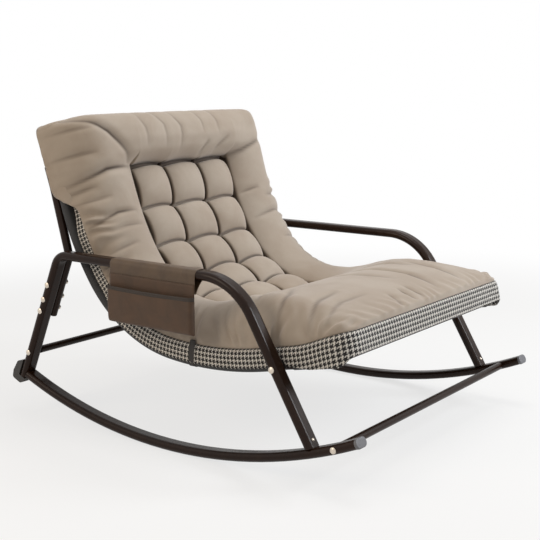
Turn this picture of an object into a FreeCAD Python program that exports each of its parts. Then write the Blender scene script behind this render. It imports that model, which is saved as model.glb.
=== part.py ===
import FreeCAD, Part
import math
import os

import Sketcher
from FreeCAD import Placement, Rotation, Vector

# Rocking chaise lounge. X runs across the chair, +Y to the rear, +Z up.
# The floor is Z = 0 and the rockers touch it at Y = 0.

os.makedirs("parts", exist_ok=True)
doc = FreeCAD.newDocument("RockingChaise")

sizes = {
    # side frames, flat-oval steel tube
    "side_spacing": 950,
    "tube_width": 45,
    "tube_depth": 25,
    "tube_wall": 1.5,
    "rocker_radius": 1510,
    "rocker_front_reach": 622,
    "arm_height": 503,
    "front_corner": 250,
    "front_foot": 492,
    "rear_corner": 402,
    "rear_foot": 568,
    "front_bend_radius": 177,
    "rear_bend_radius": 46,
    "leg_overrun": 12,
    "weld_gap": 0.3,
    # plastic ends
    "cap_length": 7,
    "cap_lip": 0.8,
    "cap_rounding": 3.1,
    "cap_plug_length": 18,
    "plug_clearance": 0.3,
    "end_plug_length": 13,
    "end_plug_rim": 1.9,
    "end_plug_dome": 6.2,
    "heel_height": 52,
    "heel_shoulder": 37,
    "heel_top_depth": 20,
    "heel_depth": 27,
    "heel_foot_depth": 23,
    "heel_drop": 24,
    "heel_rounding": 9,
    "heel_edge": 0.8,
    # crossbars, round tube
    "crossbar_diameter": 22,
    "crossbar_wall": 1.5,
    "front_crossbar_inset": 60,
    "rear_crossbar_height": 193,
    "insert_length": 22,
    "insert_grip": 18,
    # seat frame, round tube
    "rail_diameter": 25,
    "rail_wall": 1.5,
    "rail_spacer": 4,
    "seat_low_reach": 92,
    "seat_low_height": 253,
    "seat_front_angle": 12,
    "seat_front_run": 220,
    "seat_radius": 1000,
    "hip_start_angle": 6,
    "hip_radius": 420,
    "hip_end_angle": 55,
    "lumbar_radius": 800,
    "back_angle": 71,
    "back_run": 240,
    "under_seat_tube_place": 514,
    "end_tube_inset": 13,
    # back braces
    "brace_gap": 0.5,
    "brace_foot_height": 310,
    "brace_knee_height": 494,
    "brace_bend_radius": 60,
    "brace_top_height": 760,
    "brace_weld_length": 60,
    # fasteners
    "bolt_diameter": 8,
    "bolt_hole_clearance": 0.3,
    "bolt_head_diameter": 17,
    "bolt_head_height": 4.5,
    "bolt_head_rim": 1.4,
    "nut_width": 13,
    "nut_height": 6,
    "upper_bolt_height": 411,
    "middle_bolt_height": 366,
    "lower_bolt_height": 329,
    "foot_screw_height": 26,
    "foot_screw_diameter": 5,
    "foot_screw_length": 4.5,
    "foot_screw_head": 9,
    "foot_screw_head_height": 3,
    "foot_screw_head_rim": 0.8,
    # sling
    "sling_thickness": 1.8,
    "sling_gap": 0.3,
    # cushion
    "cushion_gap": 9.5,
    "base_thickness": 50,
    "base_lip": 26,
    "front_overhang": 61,
    "top_overhang": 9,
    "soft_gap": 0.3,
    "side_seam_rise": 16,
    "inner_seam": 235,
    "chamber_seam": 80,
    "tuft_pitch": 138,
    "first_tuft": 510,
    "tuft_rows": 5,
    "tuft_floor": 12,
    "seam_floor": 26,
    "chamber_crown": 52,
    "row_dip": 26,
    "bolster_crown": 62,
    "least_crown": 4,
    "crown_fullness": 0.6,
    "front_roll_crown": 108,
    "head_roll_crown": 84,
    "tie_width": 20,
    "tie_thickness": 1.2,
    "tie_reach": 20,
    "tie_height": 52,
    # armrest organiser
    "sleeve_length": 310,
    "sleeve_front": 130,
    "sleeve_cloth": 2,
    "sleeve_clearance": 0.5,
    "sleeve_drop": 40,
    "organiser_height": 176,
    "mouth_height": 104,
    "pocket_depth": 14,
    "pocket_cloth": 2,
    "binding_height": 9,
    "binding_thickness": 1.2,
}

sheet = doc.addObject("Spreadsheet::Sheet", "Sizes")
for row, (alias, value) in enumerate(sizes.items(), start=1):
    sheet.set(f"A{row}", alias)
    sheet.set(f"B{row}", str(value))
    sheet.setAlias(f"B{row}", alias)
doc.recompute()


def size(alias):
    return float(sheet.get(alias))


subparts = []


def add_feature(label, shape):
    """A sub-part whose shape is made by code."""
    feature = doc.addObject("Part::Feature", label)
    feature.Label = label
    feature.Shape = shape
    subparts.append(feature)
    return feature


def add_body(label, side=0):
    """A body, placed on the left (-1) or right (+1) side frame, or on the middle plane (0)."""
    body = doc.addObject("PartDesign::Body", label)
    body.Label = label
    if side:
        body.setExpression("Placement.Base.x", f"{side} * Sizes.side_spacing / 2")
    subparts.append(body)
    return body


def add_sketch(body, name, role):
    sketch = body.newObject("Sketcher::SketchObject", name)
    plane = [item for item in body.Origin.OriginFeatures if item.Role == role][0]
    sketch.AttachmentSupport = (plane, "")
    sketch.MapMode = "FlatFace"
    return sketch


def add_slot(sketch, width, depth, width_formula, depth_formula, middle=0):
    """A flat-oval outline, round at both ends, centred on the sketch's vertical axis."""
    radius = depth / 2
    reach = width / 2 - radius
    right = Vector(reach, middle, 0)
    left = Vector(-reach, middle, 0)
    up = Vector(0, radius, 0)
    normal = Vector(0, 0, 1)
    quarter = math.pi / 2
    first = sketch.GeometryCount
    sketch.addGeometry(Part.LineSegment(left - up, right - up))
    sketch.addGeometry(Part.ArcOfCircle(Part.Circle(right, normal, radius), -quarter, quarter))
    sketch.addGeometry(Part.LineSegment(right + up, left + up))
    sketch.addGeometry(Part.ArcOfCircle(Part.Circle(left, normal, radius), quarter, 3 * quarter))
    low, right_end, high, left_end = range(first, first + 4)
    for a, a_end, b, b_end in (
        (low, 2, right_end, 1),
        (right_end, 2, high, 1),
        (high, 2, left_end, 1),
        (left_end, 2, low, 1),
    ):
        sketch.addConstraint(Sketcher.Constraint("Tangent", a, a_end, b, b_end))
    sketch.addConstraint(Sketcher.Constraint("Horizontal", low))
    sketch.addConstraint(Sketcher.Constraint("Symmetric", left_end, 3, right_end, 3, -2))
    span = sketch.addConstraint(Sketcher.Constraint("DistanceX", left_end, 3, right_end, 3, 2 * reach))
    sketch.setExpression(f"Constraints[{span}]", f"{width_formula} - ({depth_formula})")
    round_end = sketch.addConstraint(Sketcher.Constraint("Radius", right_end, radius))
    sketch.setExpression(f"Constraints[{round_end}]", f"({depth_formula}) / 2")
    return left_end


def fix_height(sketch, arc, formula, value):
    """Hold a slot's centre at a height above the sketch's origin."""
    place = sketch.addConstraint(Sketcher.Constraint("DistanceY", -1, 1, arc, 3, value))
    sketch.setExpression(f"Constraints[{place}]", formula)


def add_round_profile(sketch, diameter_formula, wall_formula, diameter, wall, height, height_formula):
    """Two rings for a round tube, centred on the sketch's vertical axis."""
    for radius, formula in (
        (diameter / 2, f"{diameter_formula} / 2"),
        (diameter / 2 - wall, f"{diameter_formula} / 2 - {wall_formula}"),
    ):
        ring = sketch.addGeometry(Part.Circle(Vector(0, height, 0), Vector(0, 0, 1), radius))
        sketch.addConstraint(Sketcher.Constraint("PointOnObject", ring, 3, -2))
        place = sketch.addConstraint(Sketcher.Constraint("DistanceY", -1, 1, ring, 3, height))
        sketch.setExpression(f"Constraints[{place}]", height_formula)
        radius_index = sketch.addConstraint(Sketcher.Constraint("Radius", ring, radius))
        sketch.setExpression(f"Constraints[{radius_index}]", formula)


def add_path(body, name, edges):
    """A spine in the chair's side plane, from Part edges whose points are (y, z)."""
    sketch = add_sketch(body, name, "YZ_Plane")
    for edge in edges:
        sketch.addGeometry(edge)
    for index in range(len(edges) - 1):
        # an arc in a sketch always runs anticlockwise, so either of its ends may be the shared one
        gaps = {}
        for here in (1, 2):
            for there in (1, 2):
                point = sketch.getPoint(index, here)
                gaps[here, there] = point.distanceToPoint(sketch.getPoint(index + 1, there))
        here, there = min(gaps, key=gaps.get)
        sketch.addConstraint(Sketcher.Constraint("Tangent", index, here, index + 1, there))
    return sketch


def add_pipe(body, name, profile, path):
    pipe = body.newObject("PartDesign::AdditivePipe", name)
    pipe.Profile = profile
    pipe.Spine = (path, [f"Edge{index + 1}" for index in range(path.GeometryCount)])
    doc.recompute()
    return pipe


def add_holes(body, name, places, diameter, reach):
    """Round holes right across a tube at (y, z) places."""
    sketch = add_sketch(body, name + "_sketch", "YZ_Plane")
    for place in places:
        sketch.addGeometry(Part.Circle(Vector(place[0], place[1], 0), Vector(0, 0, 1), diameter / 2))
    pocket = body.newObject("PartDesign::Pocket", name)
    pocket.Profile = sketch
    pocket.Midplane = True
    pocket.Length = reach
    doc.recompute()
    return pocket


def line(start, end):
    return Part.LineSegment(Vector(*start, 0), Vector(*end, 0))


def arc(start, middle, end):
    return Part.Arc(Vector(*start, 0), Vector(*middle, 0), Vector(*end, 0))


def unit(start, end):
    length = math.hypot(end[0] - start[0], end[1] - start[1])
    return ((end[0] - start[0]) / length, (end[1] - start[1]) / length)


def bent_path(points, radii):
    """Straight runs through (y, z) points, joined by tangent arcs of the given radii."""
    edges = []
    start = points[0]
    for before, corner, after, radius in zip(points, points[1:], points[2:], radii):
        back = unit(corner, before)
        ahead = unit(corner, after)
        half = math.acos(back[0] * ahead[0] + back[1] * ahead[1]) / 2
        trim = radius / math.tan(half)
        middle = unit((0, 0), (back[0] + ahead[0], back[1] + ahead[1]))
        lift = radius / math.sin(half) - radius
        first = (corner[0] + trim * back[0], corner[1] + trim * back[1])
        last = (corner[0] + trim * ahead[0], corner[1] + trim * ahead[1])
        top = (corner[0] + lift * middle[0], corner[1] + lift * middle[1])
        edges.append(line(start, first))
        edges.append(arc(first, top, last))
        start = last
    edges.append(line(start, points[-1]))
    return edges


# Places on the side frame, as (y, z)

frame_outside = size("side_spacing") / 2 + size("tube_width") / 2
frame_inside = size("side_spacing") / 2 - size("tube_width") / 2
inside_formula = "Sizes.side_spacing / 2 - Sizes.tube_width / 2"
rocker_centre = size("rocker_radius") + size("tube_depth") / 2


def on_rocker(y):
    return (y, rocker_centre - math.sqrt(size("rocker_radius") ** 2 - y ** 2))


front_foot = on_rocker(-size("front_foot"))
rear_foot = on_rocker(size("rear_foot"))
front_corner = (-size("front_corner"), size("arm_height"))
rear_corner = (size("rear_corner"), size("arm_height"))
front_leg_way = unit(front_corner, front_foot)
rear_leg_way = unit(rear_corner, rear_foot)


def on_front_leg(z):
    share = (front_corner[1] - z) / (front_corner[1] - front_foot[1])
    return (front_corner[0] + share * (front_foot[0] - front_corner[0]), z)


def on_rear_leg(z):
    share = (rear_corner[1] - z) / (rear_corner[1] - rear_foot[1])
    return (rear_corner[0] + share * (rear_foot[0] - rear_corner[0]), z)


front_bar = on_rocker(size("front_crossbar_inset") - size("rocker_front_reach"))
rear_bar = on_rear_leg(size("rear_crossbar_height"))


# The seat line: the middle of the rails in the side plane. Its stations are (y, z, angle in degrees),
# and its length is counted from the front end.

def seat_segments():
    """Runs of the seat line as (length, start angle, end angle, radius), front to top."""
    front = size("seat_front_angle")
    hip = size("hip_start_angle")
    lumbar = size("hip_end_angle")
    back = size("back_angle")

    def arc_run(radius, first, last):
        return (radius * math.radians(last - first), first, last, radius)

    return [
        (size("seat_front_run"), -front, -front, 0),
        arc_run(size("seat_radius"), -front, 0),
        arc_run(size("seat_radius"), 0, hip),
        arc_run(size("hip_radius"), hip, lumbar),
        arc_run(size("lumbar_radius"), lumbar, back),
        (size("back_run"), back, back, 0),
    ]


seat_length = sum(segment[0] for segment in seat_segments())
low_run = seat_segments()[0][0] + seat_segments()[1][0]


def move_along(y, z, segment, run):
    """Go a run along one segment, from its start."""
    length, first, last, radius = segment
    if not radius:
        angle = math.radians(first)
        return (y + run * math.cos(angle), z + run * math.sin(angle), first)
    turned = first + math.degrees(run / radius)
    start = math.radians(first)
    end = math.radians(turned)
    return (
        y + radius * (math.sin(end) - math.sin(start)),
        z + radius * (math.cos(start) - math.cos(end)),
        turned,
    )


def seat_start():
    """The front end of the seat line, found back from its lowest point."""
    straight, bend = seat_segments()[:2]
    y, z, _ = move_along(0, 0, straight, straight[0])
    y, z, _ = move_along(y, z, bend, bend[0])
    return (-size("seat_low_reach") - y, size("seat_low_height") - z)


def station(run, lift=0):
    """The point a run along the seat line and a lift above it, and the line's angle there."""
    y, z = seat_start()
    left = run
    for segment in seat_segments():
        last = segment is seat_segments()[-1]
        step = segment[0]
        if left <= step or last:
            break
        y, z, _ = move_along(y, z, segment, step)
        left -= step
    y, z, angle = move_along(y, z, segment, left)
    turn = math.radians(angle)
    return (y - lift * math.sin(turn), z + lift * math.cos(turn), angle)


def seat_curve(lift, first, last):
    """Edges along the seat line at a lift above it, between two runs."""
    marks = [first]
    total = 0
    for segment in seat_segments():
        total += segment[0]
        if first < total < last - 1e-6:
            marks.append(total)
    marks.append(last)
    edges = []
    for start, end in zip(marks, marks[1:]):
        here = station(start, lift)
        middle = station((start + end) / 2, lift)
        there = station(end, lift)
        if abs(there[2] - here[2]) < 1e-6:
            edges.append(Part.LineSegment(Vector(0, *here[:2]), Vector(0, *there[:2])).toShape())
        else:
            points = [Vector(0, *place[:2]) for place in (here, middle, there)]
            edges.append(Part.Arc(*points).toShape())
    return edges


def straight(first, last):
    return Part.LineSegment(Vector(*first), Vector(*last)).toShape()


def across(face, width):
    """A face in the side plane, drawn out evenly to both sides."""
    face.translate(Vector(-width / 2, 0, 0))
    return face.extrude(Vector(width, 0, 0))


def mirrored(shape):
    """The shape and its mirror image on the other side of the chair."""
    other = shape.mirror(Vector(0, 0, 0), Vector(1, 0, 0))
    return Part.makeCompound([shape, other])


# Rockers: one arc of flat-oval tube each

rocker_front_angle = math.asin(size("rocker_front_reach") / size("rocker_radius"))
rocker_rear_angle = math.asin(size("rear_foot") / size("rocker_radius"))
rocker_rear_angle -= (size("tube_depth") / 2 + 2 * size("weld_gap")) / size("rocker_radius")
centre_formula = "Sizes.rocker_radius + Sizes.tube_depth / 2"


def make_rocker(label, side):
    body = add_body(label, side)
    profile = add_sketch(body, label + "_profile", "XZ_Plane")
    profile.setExpression("AttachmentOffset.Base.y", centre_formula)
    wall = size("tube_wall")
    for inset, width_formula, depth_formula in (
        (0, "Sizes.tube_width", "Sizes.tube_depth"),
        (wall, "Sizes.tube_width - 2 * Sizes.tube_wall", "Sizes.tube_depth - 2 * Sizes.tube_wall"),
    ):
        width = size("tube_width") - 2 * inset
        depth = size("tube_depth") - 2 * inset
        end = add_slot(profile, width, depth, width_formula, depth_formula, -size("rocker_radius"))
        fix_height(profile, end, "-Sizes.rocker_radius", -size("rocker_radius"))
    bend = body.newObject("PartDesign::Revolution", label + "_bend")
    bend.Profile = profile
    bend.ReferenceAxis = (profile, ["H_Axis"])
    bend.Type = "TwoAngles"
    bend.Angle = math.degrees(rocker_front_angle)
    bend.Angle2 = math.degrees(rocker_rear_angle)
    doc.recompute()
    if max(corner.Y for corner in bend.Shape.Vertexes) > size("rear_foot"):
        bend.Reversed = True
        doc.recompute()
    hole = size("bolt_diameter") + 2 * size("bolt_hole_clearance")
    add_holes(body, label + "_bolt_hole", [front_bar], hole, 2 * size("tube_width"))


# Arm frames: front leg, arm and rear leg bent from one flat-oval tube

rear_leg_end = (
    rear_foot[0] + size("leg_overrun") * rear_leg_way[0],
    rear_foot[1] + size("leg_overrun") * rear_leg_way[1],
)
arm_middle = ((rear_corner[0] + front_corner[0]) / 2, size("arm_height"))


def make_arm_frame(label, side):
    body = add_body(label, side)
    profile = add_sketch(body, label + "_profile", "XZ_Plane")
    profile.setExpression("AttachmentOffset.Base.z", "-(Sizes.rear_corner - Sizes.front_corner) / 2")
    wall = size("tube_wall")
    for inset, width_formula, depth_formula in (
        (0, "Sizes.tube_width", "Sizes.tube_depth"),
        (wall, "Sizes.tube_width - 2 * Sizes.tube_wall", "Sizes.tube_depth - 2 * Sizes.tube_wall"),
    ):
        width = size("tube_width") - 2 * inset
        depth = size("tube_depth") - 2 * inset
        end = add_slot(profile, width, depth, width_formula, depth_formula, size("arm_height"))
        fix_height(profile, end, "Sizes.arm_height", size("arm_height"))
    front_way = bent_path([arm_middle, front_corner, front_foot], [size("front_bend_radius")])
    add_pipe(body, label + "_front", profile, add_path(body, label + "_front_way", front_way))

    # the front foot is coped to sit on the rocker
    cope = add_sketch(body, label + "_cope_outline", "XZ_Plane")
    cope.setExpression("AttachmentOffset.Base.y", centre_formula)
    top = -(size("rocker_radius") - size("tube_depth") / 2 - size("weld_gap"))
    low = top - 4 * size("tube_depth")
    reach = size("tube_width")
    corners = [(-reach, low), (reach, low), (reach, top), (-reach, top)]
    for first, last in zip(corners, corners[1:] + corners[:1]):
        cope.addGeometry(line(first, last))
    groove = body.newObject("PartDesign::Groove", label + "_cope")
    groove.Profile = cope
    groove.ReferenceAxis = (cope, ["H_Axis"])
    groove.Angle = 360
    doc.recompute()

    rear_way = bent_path([arm_middle, rear_corner, rear_leg_end], [size("rear_bend_radius")])
    add_pipe(body, label + "_rear", profile, add_path(body, label + "_rear_way", rear_way))
    places = [on_front_leg(seat_bolt[1]), rear_bar]
    places += [on_rear_leg(height) for height in brace_bolt_heights]
    hole = size("bolt_diameter") + 2 * size("bolt_hole_clearance")
    add_holes(body, label + "_bolt_holes", places, hole, 2 * size("tube_width"))


halvings = 60


def seat_line_crossing():
    """Where the seat line passes the front leg's middle."""
    low, high = 0.0, low_run
    for _ in range(halvings):
        middle = (low + high) / 2
        y, z, _ = station(middle)
        if y < on_front_leg(z)[0]:
            low = middle
        else:
            high = middle
    return station(middle)[:2]


seat_bolt = seat_line_crossing()
brace_bolt_heights = [size(name + "_bolt_height") for name in ("upper", "middle", "lower")]

sides = (("left", 1), ("right", -1))
for name, side in sides:
    make_rocker(name + "_rocker", side)
    make_arm_frame(name + "_arm_frame", side)


# Grey caps in the rockers' front ends

def make_rocker_cap(label, side):
    body = add_body(label, side)
    lip = add_sketch(body, label + "_lip", "XZ_Plane")
    width = size("tube_width") + 2 * size("cap_lip")
    depth = size("tube_depth") + 2 * size("cap_lip")
    add_slot(
        lip,
        width,
        depth,
        "Sizes.tube_width + 2 * Sizes.cap_lip",
        "Sizes.tube_depth + 2 * Sizes.cap_lip",
    )
    head = body.newObject("PartDesign::Pad", label + "_head")
    head.Profile = lip
    head.setExpression("Length", "Sizes.cap_length")
    doc.recompute()
    plug = add_sketch(body, label + "_plug_outline", "XZ_Plane")
    inset = 2 * size("tube_wall") + 2 * size("plug_clearance")
    inset_formula = "2 * Sizes.tube_wall - 2 * Sizes.plug_clearance"
    add_slot(
        plug,
        size("tube_width") - inset,
        size("tube_depth") - inset,
        "Sizes.tube_width - " + inset_formula,
        "Sizes.tube_depth - " + inset_formula,
    )
    tail = body.newObject("PartDesign::Pad", label + "_plug")
    tail.Profile = plug
    tail.setExpression("Length", "Sizes.cap_plug_length")
    tail.Reversed = True
    doc.recompute()
    rim = [
        f"Edge{index + 1}"
        for index, edge in enumerate(tail.Shape.Edges)
        if edge.BoundBox.YMax < -size("cap_length") + 0.01
    ]
    round_off = body.newObject("PartDesign::Fillet", label + "_rounding")
    round_off.Base = (tail, rim)
    round_off.setExpression("Radius", "Sizes.cap_rounding")
    doc.recompute()
    body.Placement.Rotation = Rotation(Vector(1, 0, 0), -math.degrees(rocker_front_angle))
    angle = "asin(Sizes.rocker_front_reach / Sizes.rocker_radius)"
    body.setExpression("Placement.Base.y", f"-Sizes.rocker_front_reach - Sizes.weld_gap * cos({angle})")
    body.setExpression("Placement.Base.z", f"{centre_formula} - Sizes.rocker_radius * cos({angle})")


for name, side in sides:
    make_rocker_cap(name + "_rocker_cap", side)


# Dark heels behind and under the rear legs, which stop the chair tipping over backwards

def make_heel(label, side):
    gap = size("weld_gap")
    half = size("tube_depth") / 2 + gap
    drop = size("heel_drop")
    middle_start = (half, size("heel_height") / 2)
    # (distance behind the leg's middle, distance up the leg from its end)
    local = [
        middle_start,
        (half, size("heel_height")),
        (half + size("heel_top_depth"), size("heel_shoulder")),
        (half + size("heel_depth"), 0),
        (half + size("heel_foot_depth"), -drop),
        (0, -drop),
        (-half, -drop / 2),
        (-half, -gap),
        (half, -gap),
        middle_start,
    ]
    up = (-rear_leg_way[0], -rear_leg_way[1])
    out = (up[1], -up[0])
    points = [
        (
            rear_leg_end[0] + v * out[0] + u * up[0],
            rear_leg_end[1] + v * out[1] + u * up[1],
        )
        for v, u in local
    ]
    body = add_body(label, side)
    outline = add_sketch(body, label + "_outline", "YZ_Plane")
    radii = [size("heel_edge")] + 4 * [size("heel_rounding")] + 3 * [size("heel_edge")]
    for edge in bent_path(points, radii):
        outline.addGeometry(edge)
    block = body.newObject("PartDesign::Pad", label + "_block")
    block.Profile = outline
    block.Midplane = True
    block.setExpression("Length", "Sizes.tube_width")
    doc.recompute()


for name, side in sides:
    make_heel(name + "_rear_heel", side)


# Straight round tubes across the chair

def add_cross_tube(label, diameter, wall, length_formula, y, z):
    outer = doc.addObject("Part::Cylinder", label + "_outside")
    inner = doc.addObject("Part::Cylinder", label + "_inside")
    for solid, radius in ((outer, f"{diameter} / 2"), (inner, f"{diameter} / 2 - {wall}")):
        solid.setExpression("Radius", radius)
        solid.setExpression("Height", length_formula)
        solid.Placement = Placement(Vector(0, y, z), Rotation(Vector(0, 1, 0), 90))
        solid.setExpression("Placement.Base.x", f"-({length_formula}) / 2")
    tube = doc.addObject("Part::Cut", label)
    tube.Label = label
    tube.Base = outer
    tube.Tool = inner
    subparts.append(tube)
    return tube


between_frames = "Sizes.side_spacing - Sizes.tube_width - 2 * Sizes.weld_gap"
for name, place in (("front", front_bar), ("rear", rear_bar)):
    add_cross_tube(
        name + "_crossbar",
        "Sizes.crossbar_diameter",
        "Sizes.crossbar_wall",
        between_frames,
        *place,
    )


# Seat frame: a long bent rail on each side and three tubes between them

rail_offset_formula = f"{inside_formula} - Sizes.rail_spacer - Sizes.rail_diameter / 2"
rail_x = frame_inside - size("rail_spacer") - size("rail_diameter") / 2


def curve_in_sketch(marks):
    """Sketch edges of the seat line through runs where its bends change."""
    edges = []
    for start, end in zip(marks, marks[1:]):
        here = station(start)
        middle = station((start + end) / 2)
        there = station(end)
        if abs(there[2] - here[2]) < 1e-6:
            edges.append(line(here[:2], there[:2]))
        else:
            edges.append(arc(here[:2], middle[:2], there[:2]))
    return edges


def make_rail(label, side):
    body = add_body(label)
    body.setExpression("Placement.Base.x", f"{side} * ({rail_offset_formula})")
    profile = add_sketch(body, label + "_profile", "XZ_Plane")
    profile.setExpression("AttachmentOffset.Base.z", "Sizes.seat_low_reach")
    add_round_profile(
        profile,
        "Sizes.rail_diameter",
        "Sizes.rail_wall",
        size("rail_diameter"),
        size("rail_wall"),
        size("seat_low_height"),
        "Sizes.seat_low_height",
    )
    front_run = seat_segments()[0][0]
    front_way = curve_in_sketch([low_run, front_run, 0])
    add_pipe(body, label + "_front", profile, add_path(body, label + "_front_way", front_way))
    marks = [low_run]
    for segment in seat_segments()[2:]:
        marks.append(marks[-1] + segment[0])
    rear_way = curve_in_sketch(marks)
    add_pipe(body, label + "_rear", profile, add_path(body, label + "_rear_way", rear_way))
    hole = size("bolt_diameter") + 2 * size("bolt_hole_clearance")
    add_holes(body, label + "_bolt_hole", [seat_bolt], hole, 2 * size("rail_diameter"))


for name, side in sides:
    make_rail(name + "_seat_rail", side)

between_rails = f"2 * ({rail_offset_formula}) - Sizes.rail_diameter - 2 * Sizes.weld_gap"
tube_runs = {
    "seat_front_tube": size("end_tube_inset"),
    "under_seat_tube": size("under_seat_tube_place"),
    "back_top_tube": seat_length - size("end_tube_inset"),
}
for label, run in tube_runs.items():
    place = station(run)
    add_cross_tube(label, "Sizes.rail_diameter", "Sizes.rail_wall", between_rails, place[0], place[1])


# Back braces: from the back of each rail down the inside of the rear leg

brace_offset_formula = f"{inside_formula} - Sizes.brace_gap - Sizes.rail_diameter / 2"
brace_x = frame_inside - size("brace_gap") - size("rail_diameter") / 2
brace_foot = on_rear_leg(size("brace_foot_height"))
brace_knee = on_rear_leg(size("brace_knee_height"))


def back_run_at(height):
    """The run along the seat line where the back passes a height."""
    low, high = low_run, seat_length
    for _ in range(halvings):
        middle = (low + high) / 2
        if station(middle)[1] < height:
            low = middle
        else:
            high = middle
    return middle


# the top of each brace runs along the back of its rail
brace_lift = -(size("rail_diameter") + size("weld_gap"))
brace_top_run = back_run_at(size("brace_top_height"))
brace_top = station(brace_top_run, brace_lift)[:2]
leg_lean = math.atan2(-rear_leg_way[0], -rear_leg_way[1])


def clears_rail(start, end):
    """Whether a straight run between two (y, z) places stays behind the rail."""
    way = unit(start, end)
    for step in range(halvings + 1):
        y, z, _ = station(low_run + (seat_length - low_run) * step / halvings, brace_lift)
        ahead = way[0] * (z - start[1]) - way[1] * (y - start[0])
        if ahead < -size("weld_gap") and start[1] < z < end[1]:
            return False
    return True


def find_shoulder():
    """Where the brace meets the line of the rail's back: lower when its knee stands nearer."""
    turn = math.radians(station(brace_top_run)[2])
    reach = size("brace_weld_length")
    for _ in range(halvings):
        place = (brace_top[0] - reach * math.cos(turn), brace_top[1] - reach * math.sin(turn))
        if clears_rail(brace_knee, place):
            break
        reach += size("brace_weld_length") / 12
    return place


brace_shoulder = find_shoulder()


def in_brace(place):
    """A (y, z) place in the brace's own frame, whose Z runs up the rear leg."""
    y = place[0] - brace_foot[0]
    z = place[1] - brace_foot[1]
    turn = -leg_lean
    return (y * math.cos(turn) + z * math.sin(turn), -y * math.sin(turn) + z * math.cos(turn))


def make_brace(label, side):
    body = add_body(label)
    profile = add_sketch(body, label + "_profile", "XY_Plane")
    add_round_profile(
        profile,
        "Sizes.rail_diameter",
        "Sizes.rail_wall",
        size("rail_diameter"),
        size("rail_wall"),
        0,
        "0",
    )
    corners = [in_brace(place) for place in (brace_foot, brace_knee, brace_shoulder, brace_top)]
    way = bent_path(corners, 2 * [size("brace_bend_radius")])
    add_pipe(body, label + "_tube", profile, add_path(body, label + "_way", way))
    hole = size("bolt_diameter") + 2 * size("bolt_hole_clearance")
    places = [in_brace(on_rear_leg(height)) for height in brace_bolt_heights]
    add_holes(body, label + "_bolt_holes", places, hole, 2 * size("rail_diameter"))
    body.Placement = Placement(
        Vector(side * brace_x, *brace_foot),
        Rotation(Vector(1, 0, 0), math.degrees(-leg_lean)),
    )
    body.setExpression("Placement.Base.x", f"{side} * ({brace_offset_formula})")


for name, side in sides:
    make_brace(name + "_back_brace", side)


# Fasteners. Each is made with its axis along +X and its head at the outer end.

def domed_pin(length, diameter, head_diameter, rim, height):
    """A turned pin along -X from x = 0, whose round head has a straight rim under a ball's cap."""
    head = head_diameter / 2
    rise = height - rim
    ball = (head ** 2 + rise ** 2) / (2 * rise)
    half_turn = math.asin(head / ball) / 2
    crown = Vector(height - ball + ball * math.cos(half_turn), ball * math.sin(half_turn), 0)
    shank = diameter / 2
    outline = [(height, 0), (-length, 0), (-length, shank), (0, shank), (0, head), (rim, head)]
    corners = [Vector(x, radius, 0) for x, radius in outline]
    edges = [straight(a, b) for a, b in zip(corners, corners[1:])]
    edges.append(Part.Arc(corners[-1], crown, corners[0]).toShape())
    return Part.Face(Part.Wire(edges)).revolve(Vector(0, 0, 0), Vector(1, 0, 0), 360)


def make_bolt(shank):
    """A bolt with a low domed head, seated at x = 0."""
    return domed_pin(
        shank,
        size("bolt_diameter"),
        size("bolt_head_diameter"),
        size("bolt_head_rim"),
        size("bolt_head_height"),
    )


def make_nut():
    """A hexagon nut whose bore clears the bolt, with its outer face at x = 0."""
    corner = size("nut_width") / math.sqrt(3)
    angles = [math.radians(60 * index) for index in range(7)]
    outline = [Vector(0, corner * math.cos(a), corner * math.sin(a)) for a in angles]
    block = Part.Face(Part.makePolygon(outline)).extrude(Vector(-size("nut_height"), 0, 0))
    radius = size("bolt_diameter") / 2 + size("bolt_hole_clearance")
    bore = Part.makeCylinder(radius, size("nut_height"), Vector(0, 0, 0), Vector(-1, 0, 0))
    return block.cut(bore)


def set_across(label, shape, x, places):
    """Copies of a fastener at (y, z) places on both sides of the chair."""
    copies = []
    for y, z in places:
        copy = shape.copy()
        copy.translate(Vector(x, y, z))
        copies.append(copy)
    return add_feature(label, mirrored(Part.makeCompound(copies)))


head_seat = frame_outside + size("weld_gap")
brace_bolts = [on_rear_leg(height) for height in brace_bolt_heights]

seat_nut_x = rail_x - size("rail_diameter") / 2 - size("weld_gap")
seat_shank = head_seat - seat_nut_x + size("nut_height")
set_across("seat_bolts", make_bolt(seat_shank), head_seat, [seat_bolt])
set_across("seat_nuts", make_nut(), seat_nut_x, [seat_bolt])

brace_nut_x = brace_x - size("rail_diameter") / 2 - size("weld_gap")
brace_shank = head_seat - brace_nut_x + size("nut_height")
set_across("rear_leg_bolts", make_bolt(brace_shank), head_seat, brace_bolts)
set_across("rear_leg_nuts", make_nut(), brace_nut_x, brace_bolts)

bar_shank = size("tube_width") + size("insert_grip")
set_across("front_crossbar_bolts", make_bolt(bar_shank), head_seat, [front_bar])
set_across("rear_crossbar_bolts", make_bolt(bar_shank), head_seat, [rear_bar])


def make_ring(outer_radius, bore_radius, length):
    """A plain round bush along -X from x = 0."""
    ring = Part.makeCylinder(outer_radius, length, Vector(0, 0, 0), Vector(-1, 0, 0))
    return ring.cut(Part.makeCylinder(bore_radius, length, Vector(0, 0, 0), Vector(-1, 0, 0)))


bolt_bore = size("bolt_diameter") / 2 + size("bolt_hole_clearance")
insert_radius = size("crossbar_diameter") / 2 - size("crossbar_wall") - size("plug_clearance")
insert = make_ring(insert_radius, bolt_bore, size("insert_length"))
bar_end = frame_inside - size("weld_gap")
set_across("front_crossbar_inserts", insert, bar_end, [front_bar])
set_across("rear_crossbar_inserts", insert, bar_end, [rear_bar])

spacer = make_ring(
    size("rail_diameter") / 2 - size("weld_gap"),
    bolt_bore,
    size("rail_spacer") - 2 * size("weld_gap"),
)
set_across("seat_spacers", spacer, frame_inside - size("weld_gap"), [seat_bolt])


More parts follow.
